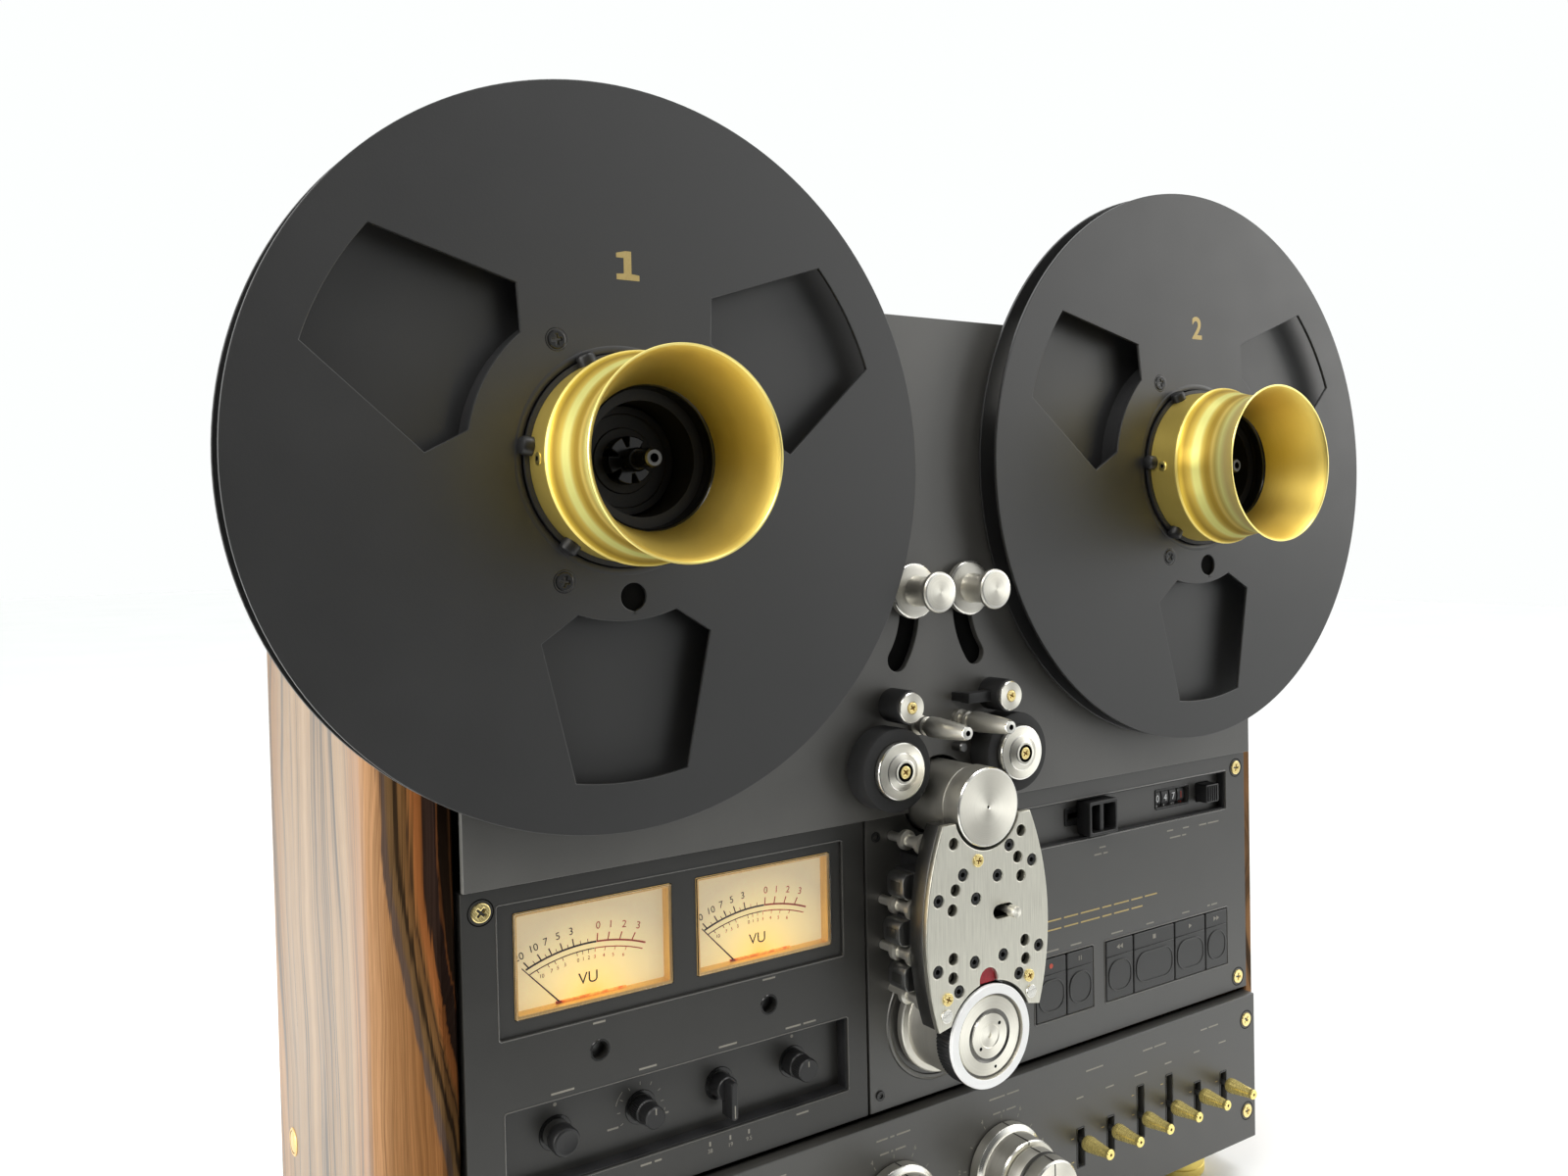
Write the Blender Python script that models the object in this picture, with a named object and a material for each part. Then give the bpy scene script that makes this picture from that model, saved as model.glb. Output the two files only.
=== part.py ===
"""Reel to reel tape deck with two metal reels on gold bell adapters.

Lengths are millimetres; MM turns them into Blender's metres. x runs to the right,
depth runs back from the front plane of the lower front panels, and height runs up
from the reel spindles. at() turns the three into a world position, with the world's
origin on the ground under the middle of the deck.
"""

import math

import bmesh
import bpy
from mathutils import Vector

MM = 0.001
GAP = 0.3

SPINDLE_HEIGHT = 381.4
FRONT_PLANE = -73.5
SPINDLE_X = 155.8

PANEL_X = 213.0
CABINET_TOP = 64.4
CABINET_FLOOR = -356.0
CABINET_BACK = 215.0
SHEET = 2.0

DECK_FRONT = -3.3
DECK_BACK = -0.3
DECK_LOW = -149.6
LOWER_TOP = -150.3
LOWER_BOTTOM = -276.4
PANEL_THICK = 9.0
CENTRE_X = 38.5

AMP_FRONT = -5.0
AMP_BACK = 3.0
AMP_TOP = -278.8
AMP_BOTTOM = -355.8

REEL_RADIUS = 133.5
REEL_FRONT = -19.0
REEL_BACK = -7.2
FLANGE = 1.5
HUB_RADIUS = 57.2
HUB_BORE = 38.3
WINDOW_OUTER = 115.3
WINDOW_CORNER = 71.5
WINDOW_OUTER_HALF = math.radians(11.1)
WINDOW_CORNER_HALF = math.radians(27.8)
WINDOW_INNER_HALF = math.radians(19.7)
REEL_TURN_LEFT = math.radians(0.5)
REEL_TURN_RIGHT = math.radians(3.5)

CAPSTAN_HEIGHT = -144.0
CAPSTAN_RADIUS = 16.7
REVERSER_HEIGHT = -241.2
REVERSER_RADIUS = 22.1
HEAD_FRONT = -35.0
HEAD_PLATE = 3.0

TENSION_PIVOT = (53.2, -60.75)
TENSION_ROLLER = (15.5, -53.5)
TENSION_SLOT_END = math.radians(46.0)
TENSION_SLOT_HALF = 5.2
PINCH_ROLLER = (33.6, -127.0)
PINCH_PIVOT = (20.1, -100.3)
PINCH_RADIUS = 17.6
IDLER = (27.75, -101.2)
GUIDE_PIN = (12.0, -111.5)

METER_X = ((-193.9, -130.1), (-119.7, -56.1))
METER_Z = (-199.7, -160.8)
METER_FRAME_X = (-200.0, -51.0)
METER_FRAME_Z = (-205.0, -157.0)
NEEDLE_PIVOT_Z = -212.0
NEEDLE_LENGTH = 40.7
NEEDLE_REST = math.radians(43.0)

TRAY_X = (-198.7, -49.7)
TRAY_Z = (-262.5, -231.7)
TRAY_DEPTH = 7.0
TRAY_KNOB_X = (-177.3, -142.5, -107.7, -72.9)
TRAY_KNOB_Z = -246.6

COUNTER_TRAY_X = (46.0, 197.3)
COUNTER_TRAY_Z = (-178.4, -158.8)
COUNTER_TRAY_DEPTH = 5.0
COUNTER_X = (148.8, 172.7)
COUNTER_Z = (-174.5, -164.5)

BUTTON_Z = (-260.9, -231.0)
BUTTON_EDGES_SMALL = (58.6, 78.8, 97.0)
BUTTON_EDGES_BIG = (105.6, 125.2, 155.8, 179.7, 197.3)
BUTTON_NAMES_SMALL = ("record", "pause")
BUTTON_NAMES_BIG = ("rewind", "stop", "play", "fast_forward")

LEVEL_KNOBS = (("output", 31.7), ("line", -30.0), ("mic", -91.7))
LEVEL_HEIGHT = -317.2
JACK_X = (-187.0, -160.0, -133.0)
LEVER_X = (82.0, 102.4, 123.8, 144.9, 166.4, 186.8)
LEVER_LONG = (False, False, True, True, False, False)
LEVER_HEIGHT = -320.2
LEVER_PIVOT_DEPTH = 17.0
LEVER_SLOT_SHORT = (-332.8, -314.8)
LEVER_SLOT_LONG = (-331.2, -305.4)

FOOT_X = 190.5
FOOT_DEPTHS = (31.0, 190.0)
FOOT_RADIUS = 16.0

ROUND = 32
SMALL_ROUND = 16


def at(x, depth, height):
    return Vector((x, FRONT_PLANE + depth, SPINDLE_HEIGHT + height)) * MM


def clear_scene():
    for thing in list(bpy.data.objects):
        bpy.data.objects.remove(thing, do_unlink=True)


def material(name, colour, roughness, metallic):
    made = bpy.data.materials.new(name)
    made.use_nodes = True
    shader = made.node_tree.nodes["Principled BSDF"]
    shader.inputs["Base Color"].default_value = (*colour, 1.0)
    shader.inputs["Roughness"].default_value = roughness
    shader.inputs["Metallic"].default_value = metallic
    return made


def make_materials():
    return {
        "rosewood": material("rosewood", (0.23, 0.09, 0.035), 0.35, 0.0),
        "panel": material("panel", (0.045, 0.043, 0.040), 0.45, 0.4),
        "reel": material("reel", (0.020, 0.021, 0.023), 0.45, 0.5),
        "gold": material("gold", (0.83, 0.62, 0.16), 0.25, 1.0),
        "silver": material("silver", (0.72, 0.71, 0.68), 0.28, 1.0),
        "black": material("black", (0.012, 0.012, 0.013), 0.5, 0.0),
        "rubber": material("rubber", (0.018, 0.018, 0.019), 0.75, 0.0),
        "steel": material("steel", (0.10, 0.10, 0.10), 0.4, 0.8),
        "dial": material("dial", (0.90, 0.74, 0.50), 0.5, 0.0),
        "glass": material("glass", (0.95, 0.90, 0.88), 0.05, 0.0),
    }


def finish(name, bm, origin, look):
    """Turn a bmesh in metres, centred on its own origin, into a placed object."""
    bmesh.ops.recalc_face_normals(bm, faces=bm.faces)
    mesh = bpy.data.meshes.new(name)
    bm.to_mesh(mesh)
    bm.free()
    mesh.shade_smooth()
    mesh.set_sharp_from_angle(angle=math.radians(35))
    made = bpy.data.objects.new(name, mesh)
    made.location = origin
    if look is not None:
        mesh.materials.append(look)
    bpy.context.scene.collection.objects.link(made)
    return made


def box(name, xs, depths, heights, look=None, origin=None):
    """A block between two x, two depths and two heights."""
    low = at(min(xs), min(depths), min(heights))
    high = at(max(xs), max(depths), max(heights))
    origin = (low + high) / 2 if origin is None else origin
    bm = bmesh.new()
    bmesh.ops.create_cube(bm, size=1.0)
    bmesh.ops.scale(bm, vec=high - low, verts=bm.verts)
    bmesh.ops.translate(bm, vec=(low + high) / 2 - origin, verts=bm.verts)
    return finish(name, bm, origin, look)


def turned(name, origin, profile, look=None, axis="Y", sides=ROUND, hollow=False):
    """Spin (radius, along) points about an axis; a hollow profile closes on itself."""
    bm = bmesh.new()
    points = []
    for radius, along in profile:
        place = (radius, along, 0) if axis == "Y" else (radius, 0, along)
        points.append(bm.verts.new(Vector(place) * MM))
    edges = [bm.edges.new(pair) for pair in zip(points, points[1:])]
    if hollow:
        edges.append(bm.edges.new((points[-1], points[0])))
    turn = (0, 1, 0) if axis == "Y" else (0, 0, 1)
    bmesh.ops.spin(
        bm,
        geom=points + edges,
        cent=(0, 0, 0),
        axis=turn,
        angle=math.tau,
        steps=sides,
    )
    bmesh.ops.remove_doubles(bm, verts=bm.verts, dist=0.002 * MM)
    return finish(name, bm, origin, look)


def rod(name, x, height, radius, depths, look=None, sides=SMALL_ROUND):
    """A plain cylinder along the depth."""
    half = abs(depths[1] - depths[0]) / 2
    profile = [(0, -half), (radius, -half), (radius, half), (0, half)]
    return turned(name, at(x, sum(depths) / 2, height), profile, look, sides=sides)


def prism(name, outline, depths, look=None, origin=None):
    """Extrude an outline of (x, height) points through the depth."""
    origin = at(0, 0, 0) if origin is None else origin
    bm = bmesh.new()
    corners = [bm.verts.new(at(x, depths[0], height) - origin) for x, height in outline]
    face = bm.faces.new(corners)
    swept = bmesh.ops.extrude_face_region(bm, geom=[face])
    moved = [item for item in swept["geom"] if isinstance(item, bmesh.types.BMVert)]
    bmesh.ops.translate(bm, vec=(0, (depths[1] - depths[0]) * MM, 0), verts=moved)
    return finish(name, bm, origin, look)


def apply_boolean(target, other, operation):
    """Join or cut two solids, leaving the other one as a hidden helper."""
    change = target.modifiers.new(operation.lower() + "_" + other.name, "BOOLEAN")
    change.operation = operation
    change.solver = "EXACT"
    change.object = other
    other.hide_render = True
    other.display_type = "WIRE"


def cut(target, *cutters):
    for cutter in cutters:
        apply_boolean(target, cutter, "DIFFERENCE")


def join(target, *others):
    for other in others:
        apply_boolean(target, other, "UNION")


def bevel(target, width):
    edge = target.modifiers.new("edge", "BEVEL")
    edge.width = width * MM
    edge.segments = 1
    edge.limit_method = "ANGLE"


def arc(centre, radius, start, end, steps):
    """Points along an arc, from one angle to another."""
    points = []
    for step in range(steps + 1):
        angle = start + (end - start) * step / steps
        x = centre[0] + radius * math.cos(angle)
        points.append((x, centre[1] + radius * math.sin(angle)))
    return points


def capsule(start, end, radius, steps=8):
    """The outline of a straight bar with round ends."""
    run = math.atan2(end[1] - start[1], end[0] - start[0])
    quarter = math.pi / 2
    first = arc(end, radius, run - quarter, run + quarter, steps)
    return first + arc(start, radius, run + quarter, run + 3 * quarter, steps)


def mirrored(points, side):
    return [(side * x, height) for x, height in points]


# The cabinet


def make_side_panel(name, side, looks):
    """A wooden side whose front third tapers in towards the panels."""
    plan = [(214.5, 2.0), (220.5, 2.0), (228.0, 66.0), (228.0, 215.0), (214.5, 215.0)]
    bm = bmesh.new()
    floor = []
    for x, depth in plan:
        floor.append(bm.verts.new(at(side * x, depth, CABINET_FLOOR)))
    face = bm.faces.new(floor)
    swept = bmesh.ops.extrude_face_region(bm, geom=[face])
    moved = [item for item in swept["geom"] if isinstance(item, bmesh.types.BMVert)]
    rise = (CABINET_TOP - CABINET_FLOOR) * MM
    bmesh.ops.translate(bm, vec=(0, 0, rise), verts=moved)
    panel = finish(name, bm, Vector((0, 0, 0)), looks["rosewood"])
    bevel(panel, 0.8)


def make_cabinet_shell(looks):
    """A folded sheet that makes the top, the back and the floor."""
    width = (-PANEL_X - 1.0, PANEL_X + 1.0)
    shell = box(
        "cabinet_shell",
        width,
        (0.6, CABINET_BACK),
        (CABINET_FLOOR, CABINET_TOP),
        looks["panel"],
    )
    hollow = box(
        "shell_hollow",
        (width[0] - 1, width[1] + 1),
        (-1, CABINET_BACK - SHEET),
        (CABINET_FLOOR + SHEET, CABINET_TOP - SHEET),
    )
    cut(shell, hollow)
    front = (-1, AMP_BACK + GAP)
    cut(shell, box("floor_step", (-220, 220), front, (CABINET_FLOOR - 1, CABINET_FLOOR + 4)))
    trays = (
        ("terminal_tray", (-190.0, -60.0), (-318.0, -262.0)),
        ("mains_tray", (120.0, 186.0), (-318.0, -274.0)),
    )
    for name, xs, heights in trays:
        outer_x = (xs[0] - SHEET, xs[1] + SHEET)
        outer_z = (heights[0] - SHEET, heights[1] + SHEET)
        wall = box(name + "_wall", outer_x, (CABINET_BACK - 10, CABINET_BACK - 1), outer_z)
        pocket = box(name + "_pocket", xs, (CABINET_BACK - 8, CABINET_BACK + 2), heights)
        join(shell, wall)
        cut(shell, pocket)


def make_feet(looks):
    """Four turned feet under the floor."""
    low = -SPINDLE_HEIGHT
    top = CABINET_FLOOR - GAP
    profile = [
        (0, low),
        (FOOT_RADIUS - 1.5, low),
        (FOOT_RADIUS, low + 2.5),
        (FOOT_RADIUS, top - 7.0),
        (FOOT_RADIUS - 2.0, top - 5.0),
        (FOOT_RADIUS - 2.0, top),
        (0, top),
    ]
    for row, depth in zip(("front", "rear"), FOOT_DEPTHS):
        for hand, side in (("left", -1), ("right", 1)):
            place = at(side * FOOT_X, depth, 0)
            name = "foot_" + row + "_" + hand
            turned(name, place, profile, looks["gold"], axis="Z", sides=20)


# The front panels


def tension_slot(side):
    """The curved slot that a tension roller's post runs along."""
    pivot = TENSION_PIVOT
    reach = (TENSION_ROLLER[0] - pivot[0], TENSION_ROLLER[1] - pivot[1])
    radius = math.hypot(*reach)
    start = math.atan2(reach[1], reach[0]) - math.radians(4.0)
    end = start + TENSION_SLOT_END + math.radians(4.0)
    half = TENSION_SLOT_HALF
    upper = arc(pivot, radius, start, start, 1)[0]
    lower = arc(pivot, radius, end, end, 1)[0]
    outline = arc(pivot, radius + half, start, end, 8)
    outline += arc(lower, half, end, end + math.pi, 6)[1:-1]
    outline += arc(pivot, radius - half, end, start, 8)
    outline += arc(upper, half, start + math.pi, start + math.tau, 6)[1:-1]
    name = "tension_slot_left" if side < 0 else "tension_slot_right"
    return prism(name, mirrored(outline, side), (DECK_FRONT - 2, DECK_BACK + 2))


def pinch_slot(side):
    """A short slot for the pinch roller's post."""
    towards = Vector((-PINCH_ROLLER[0], CAPSTAN_HEIGHT - PINCH_ROLLER[1])).normalized()
    end = Vector(PINCH_ROLLER) + towards * 4.0
    name = "pinch_slot_left" if side < 0 else "pinch_slot_right"
    outline = mirrored(capsule(PINCH_ROLLER, tuple(end), 5.0), side)
    return prism(name, outline, (DECK_FRONT - 2, DECK_BACK + 2))


def guide_pin(side):
    """A tapered tape guide standing on the deck panel."""
    profile = [(0, 0), (3.6, 0), (3.6, -11.2), (4.4, -12.2), (4.4, -19.0), (2.8, -36.0), (0, -36.0)]
    place = at(side * GUIDE_PIN[0], DECK_BACK - 1, GUIDE_PIN[1])
    name = "guide_pin_left" if side < 0 else "guide_pin_right"
    return turned(name, place, profile, sides=16)


def idler_post(side):
    name = "idler_post_left" if side < 0 else "idler_post_right"
    return rod(name, side * IDLER[0], IDLER[1], 2.2, (-17.0, DECK_BACK - 1), sides=12)


def make_deck_panel(looks):
    """The upper front panel, with the spindle holes and the arms' slots."""
    panel = box(
        "deck_panel",
        (-PANEL_X, PANEL_X),
        (DECK_FRONT, DECK_BACK),
        (DECK_LOW, CABINET_TOP),
        looks["panel"],
    )
    through = (DECK_FRONT - 2, DECK_BACK + 2)
    for side in (-1, 1):
        hand = "left" if side < 0 else "right"
        cut(panel, rod("spindle_hole_" + hand, side * SPINDLE_X, 0, 11.0, through))
        cut(panel, tension_slot(side), pinch_slot(side))
        join(panel, guide_pin(side), idler_post(side))
    cut(panel, rod("capstan_hole", 0, CAPSTAN_HEIGHT, CAPSTAN_RADIUS + 1.0, through, sides=32))


def make_meter_panel(looks):
    """The lower left panel: two meters above a tray of small controls."""
    panel = box(
        "meter_panel",
        (-PANEL_X, -CENTRE_X - 0.6),
        (0, PANEL_THICK),
        (LOWER_BOTTOM, LOWER_TOP),
        looks["panel"],
    )
    through = (-2, PANEL_THICK + 2)
    cut(panel, box("meter_frame_pocket", METER_FRAME_X, (-1, 1.2), METER_FRAME_Z))
    for hand, xs in zip(("left", "right"), METER_X):
        cut(panel, box("meter_opening_" + hand, xs, through, METER_Z))
        middle = sum(xs) / 2
        cut(panel, rod("meter_trim_hole_" + hand, middle, -217.4, 2.4, through, sides=16))
    cut(panel, box("tray_pocket", TRAY_X, (-1, TRAY_DEPTH), TRAY_Z))
    for index, x in enumerate(TRAY_KNOB_X):
        cut(panel, rod("tray_hole_%d" % index, x, TRAY_KNOB_Z, 2.6, through, sides=16))


def make_head_base_panel(looks):
    """The middle panel behind the tape heads."""
    panel = box(
        "head_base_panel",
        (-CENTRE_X, CENTRE_X),
        (0, 4.0),
        (LOWER_BOTTOM, LOWER_TOP),
        looks["panel"],
    )
    through = (-2, 6)
    cut(panel, rod("base_capstan_hole", 0, CAPSTAN_HEIGHT, CAPSTAN_RADIUS + 1.0, through, sides=32))
    cut(panel, rod("base_reverser_hole", 0, REVERSER_HEIGHT, 7.0, through))


def make_control_panel(looks):
    """The lower right panel: cue and counter tray above the transport buttons."""
    panel = box(
        "control_panel",
        (CENTRE_X + 0.6, PANEL_X),
        (0, PANEL_THICK),
        (LOWER_BOTTOM, LOWER_TOP),
        looks["panel"],
    )
    through = (-2, PANEL_THICK + 2)
    tray = (-1, COUNTER_TRAY_DEPTH)
    cut(panel, box("counter_tray", COUNTER_TRAY_X, tray, COUNTER_TRAY_Z))
    cut(panel, box("cue_slot", (86.0, 108.0), through, (-169.6, -166.0)))
    cut(panel, box("counter_opening", COUNTER_X, through, COUNTER_Z))
    cut(panel, box("reset_opening", (179.7, 190.3), through, (-173.5, -163.5)))
    for name, edges in (("small", BUTTON_EDGES_SMALL), ("big", BUTTON_EDGES_BIG)):
        xs = (edges[0], edges[-1])
        cut(panel, box("button_opening_" + name, xs, through, BUTTON_Z))


def make_amplifier_panel(looks):
    """The bottom panel, proud of the others: level knobs, jacks and lever switches."""
    panel = box(
        "amplifier_panel",
        (-PANEL_X, PANEL_X),
        (AMP_FRONT, AMP_BACK),
        (AMP_BOTTOM, AMP_TOP),
        looks["panel"],
    )
    through = (AMP_FRONT - 2, AMP_BACK + 2)
    for name, x in LEVEL_KNOBS:
        cut(panel, rod(name + "_hole", x, LEVEL_HEIGHT, 5.0, through, sides=16))
    for index, x in enumerate(JACK_X):
        cut(panel, rod("jack_hole_%d" % index, x, LEVEL_HEIGHT, 3.3, through, sides=16))
    for index, (x, is_long) in enumerate(zip(LEVER_X, LEVER_LONG)):
        heights = LEVER_SLOT_LONG if is_long else LEVER_SLOT_SHORT
        cut(panel, box("lever_slot_%d" % index, (x - 2.1, x + 2.1), through, heights))


# Reels and their drives


def reel_window(name, spindle, middle):
    """One of the three windows, cut through the front flange only, outside the hub."""
    inner = HUB_RADIUS + GAP
    outline = arc((0, 0), WINDOW_OUTER, middle - WINDOW_OUTER_HALF, middle + WINDOW_OUTER_HALF, 6)
    corner = middle + WINDOW_CORNER_HALF
    outline.append((WINDOW_CORNER * math.cos(corner), WINDOW_CORNER * math.sin(corner)))
    outline += arc((0, 0), inner, middle + WINDOW_INNER_HALF, middle - WINDOW_INNER_HALF, 6)
    corner = middle - WINDOW_CORNER_HALF
    outline.append((WINDOW_CORNER * math.cos(corner), WINDOW_CORNER * math.sin(corner)))
    outline = [(x + spindle, height) for x, height in outline]
    return prism(name, outline, (REEL_FRONT - 2, REEL_FRONT + FLANGE + 2))


def make_reel(hand, side, turn, looks):
    """Two thin flanges screwed to a wide hub."""
    profile = [
        (HUB_BORE, REEL_FRONT),
        (REEL_RADIUS, REEL_FRONT),
        (REEL_RADIUS, REEL_FRONT + FLANGE),
        (HUB_RADIUS, REEL_FRONT + FLANGE),
        (HUB_RADIUS, REEL_BACK - FLANGE),
        (REEL_RADIUS, REEL_BACK - FLANGE),
        (REEL_RADIUS, REEL_BACK),
        (HUB_BORE, REEL_BACK),
    ]
    place = at(side * SPINDLE_X, 0, 0)
    reel = turned("reel_" + hand, place, profile, looks["reel"], sides=60, hollow=True)
    for index in range(3):
        middle = math.radians(30 + 120 * index) + turn
        name = "reel_window_%s_%d" % (hand, index)
        cut(reel, reel_window(name, side * SPINDLE_X, middle))


def make_adapter(hand, side, looks):
    """The bell that centres the wide hub on the spindle and clamps it."""
    profile = [
        (20.3, -10.0),
        (36.2, -10.0),
        (36.2, -35.0),
        (37.5, -36.0),
        (37.4, -36.9),
        (36.3, -38.4),
        (34.8, -43.0),
        (33.3, -48.0),
        (32.5, -53.0),
        (32.5, -57.5),
        (33.4, -61.5),
        (35.0, -65.6),
        (36.4, -67.6),
        (36.3, -68.0),
        (35.6, -68.0),
        (33.6, -64.4),
        (31.0, -57.0),
        (28.2, -48.6),
        (25.4, -40.0),
        (24.4, -33.4),
        (20.3, -33.4),
    ]
    name = "bell_adapter_" + hand
    turned(name, at(side * SPINDLE_X, 0, 0), profile, looks["gold"], sides=28, hollow=True)


def make_reel_table(hand, side, looks):
    """Motor shaft, turntable and splined spindle in one turned piece."""
    seat = REEL_BACK + GAP
    profile = [
        (0, 34.0),
        (8.0, 34.0),
        (8.0, seat + 2.4),
        (50.0, seat + 2.4),
        (50.0, seat),
        (19.8, seat),
        (19.8, -19.0),
        (8.6, -19.0),
        (8.6, -23.7),
        (3.1, -23.7),
        (3.1, -41.6),
        (2.2, -42.5),
        (0, -42.5),
    ]
    name = "reel_table_" + hand
    turned(name, at(side * SPINDLE_X, 0, 0), profile, looks["black"], sides=24)


# The tape path


def roller(name, x, height, profile, look, bore, bore_end):
    """A turned roller with a blind bore for its post, open at the back."""
    back = profile[-1][1]
    shape = profile[:-1] + [(bore, back), (bore, bore_end), (0, bore_end)]
    return turned(name, at(x, 0, height), shape, look, sides=20)


def make_tension(hand, side, looks):
    """A swinging arm behind the panel whose roller stands out through the slot."""
    pivot = at(side * TENSION_PIVOT[0], 0, TENSION_PIVOT[1])
    bar = capsule(TENSION_PIVOT, TENSION_ROLLER, 4.5)
    name = "tension_arm_" + hand
    arm = prism(name, mirrored(bar, side), (0.1, 2.6), looks["steel"], origin=pivot)
    post_name = "tension_post_" + hand
    x = side * TENSION_ROLLER[0]
    join(arm, rod(post_name, x, TENSION_ROLLER[1], 2.6, (-18.0, 1.5), sides=16))
    profile = [
        (0, -25.7),
        (8.6, -25.7),
        (8.6, -23.2),
        (6.4, -22.4),
        (6.4, -9.4),
        (11.8, -8.8),
        (11.8, -5.4),
        (0, -5.4),
    ]
    roller("tension_roller_" + hand, x, TENSION_ROLLER[1], profile, looks["silver"], 3.0, -18.4)


def make_idler(hand, side, looks):
    profile = [(0, -20.5), (6.4, -20.5), (7.2, -19.4), (7.2, -6.0), (0, -6.0)]
    roller("idler_roller_" + hand, side * IDLER[0], IDLER[1], profile, looks["black"], 2.6, -17.5)


def make_pinch(hand, side, looks):
    """A rubber roller on a short arm that swings it against the capstan."""
    pivot = at(side * PINCH_PIVOT[0], 0, PINCH_PIVOT[1])
    bar = capsule(PINCH_PIVOT, PINCH_ROLLER, 4.2)
    name = "pinch_arm_" + hand
    arm = prism(name, mirrored(bar, side), (3.2, 5.7), looks["steel"], origin=pivot)
    x = side * PINCH_ROLLER[0]
    join(arm, rod("pinch_post_" + hand, x, PINCH_ROLLER[1], 3.0, (-16.5, 4.5), sides=16))
    profile = [
        (0, -23.0),
        (5.0, -22.6),
        (9.0, -21.2),
        (12.0, -20.4),
        (12.2, -17.8),
        (PINCH_RADIUS - 0.6, -17.8),
        (PINCH_RADIUS, -17.2),
        (PINCH_RADIUS, -5.6),
        (PINCH_RADIUS - 0.6, -5.0),
        (0, -5.0),
    ]
    roller("pinch_roller_" + hand, x, PINCH_ROLLER[1], profile, looks["rubber"], 3.4, -17.0)


def make_capstan(looks):
    profile = [
        (0, 24.0),
        (6.0, 24.0),
        (6.0, 6.5),
        (CAPSTAN_RADIUS - 0.6, 6.5),
        (CAPSTAN_RADIUS - 0.6, -26.0),
        (CAPSTAN_RADIUS, -26.4),
        (CAPSTAN_RADIUS, -35.4),
        (CAPSTAN_RADIUS - 0.4, -35.8),
        (0, -35.8),
    ]
    turned("capstan", at(0, 0, CAPSTAN_HEIGHT), profile, looks["silver"], sides=28)


def make_reversing_roller(looks):
    """The large roller that turns the tape back on itself below the heads."""
    rim = REVERSER_RADIUS
    profile = [
        (0, 24.0),
        (5.5, 24.0),
        (5.5, -1.2),
        (24.3, -1.2),
        (24.3, -5.0),
        (rim - 0.8, -6.0),
        (rim - 0.8, -26.0),
        (rim, -26.4),
        (rim, -34.6),
        (rim - 0.7, -35.2),
        (17.6, -35.2),
        (16.6, -33.6),
        (11.0, -32.4),
        (9.4, -34.2),
        (0, -34.2),
    ]
    turned("reversing_roller", at(0, 0, REVERSER_HEIGHT), profile, looks["silver"], sides=28)


def head_outline(inset):
    """A barrel shape with a bite at each end, round the capstan and the lower roller."""
    top = (24.2 - inset, -148.7 - inset)
    side = (33.9 - inset, -195.0)
    foot = (28.0 - inset, -233.4 + inset)
    bulge = circle_through(top, side, foot)
    capstan = (0.0, CAPSTAN_HEIGHT)
    reverser = (0.0, REVERSER_HEIGHT)
    capstan_clear = CAPSTAN_RADIUS + 1.4 + inset
    reverser_clear = REVERSER_RADIUS + 1.4 + inset
    upper = math.asin((top[1] - capstan[1]) / capstan_clear)
    lower = math.asin((-232.0 + inset - reverser[1]) / reverser_clear)
    right = arc(bulge[0], bulge[1], bulge[3], bulge[2], 12)
    outline = arc(capstan, capstan_clear, -math.pi - upper, upper, 14)
    outline += list(reversed(right))
    outline += arc(reverser, reverser_clear, lower, math.pi - lower, 14)
    outline += [(-x, height) for x, height in right]
    return outline


def circle_through(first, second, third):
    """Centre, radius and the end angles of the circle through three points."""
    ax, ay = first
    bx, by = second
    cx, cy = third
    d = 2 * (ax * (by - cy) + bx * (cy - ay) + cx * (ay - by))
    a = ax * ax + ay * ay
    b = bx * bx + by * by
    c = cx * cx + cy * cy
    x = (a * (by - cy) + b * (cy - ay) + c * (ay - by)) / d
    y = (a * (cx - bx) + b * (ax - cx) + c * (bx - ax)) / d
    start = math.atan2(ay - y, ax - x)
    end = math.atan2(cy - y, cx - x)
    return (x, y), math.hypot(ax - x, ay - y), start, end


def make_head_plate(looks):
    plate_back = HEAD_FRONT + HEAD_PLATE
    plate = prism("head_plate", head_outline(0.0), (HEAD_FRONT, plate_back), looks["silver"])
    slot = capsule((5.2, -189.3), (10.8, -189.3), 2.9, steps=6)
    cut(plate, prism("selector_slot", slot, (HEAD_FRONT - 2, plate_back + 2)))


def make_head_block(looks):
    """The housing behind the plate, its pillar and the row of heads on each side."""
    front = HEAD_FRONT + HEAD_PLATE + GAP
    block = prism("head_block", head_outline(0.5), (front, -23.0), looks["black"])
    join(block, box("head_pillar", (-20, 20), (-23.5, -GAP), (-214, -166)))
    for side in (-1, 1):
        for index, (x, height) in enumerate(((26.0, -175.5), (28.5, -194.5), (26.0, -214.0))):
            name = "head_%d_%d" % (index, side + 1)
            xs = (side * (x - 10), side * (x + 8))
            join(block, box(name, xs, (-24.0, -8.0), (height - 6.5, height + 6.5)))
    slot = capsule((5.0, -189.3), (11.0, -189.3), 3.1, steps=6)
    cut(block, prism("selector_pocket", slot, (front - 2, -25.0)))


def make_head_selector(looks):
    profile = [(0, -25.4), (1.6, -25.4), (1.6, -36.0), (2.2, -36.6), (2.2, -40.4), (0, -40.8)]
    turned("head_selector", at(10.6, 0, -189.3), profile, looks["silver"], sides=16)


# Meters and small controls


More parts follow.
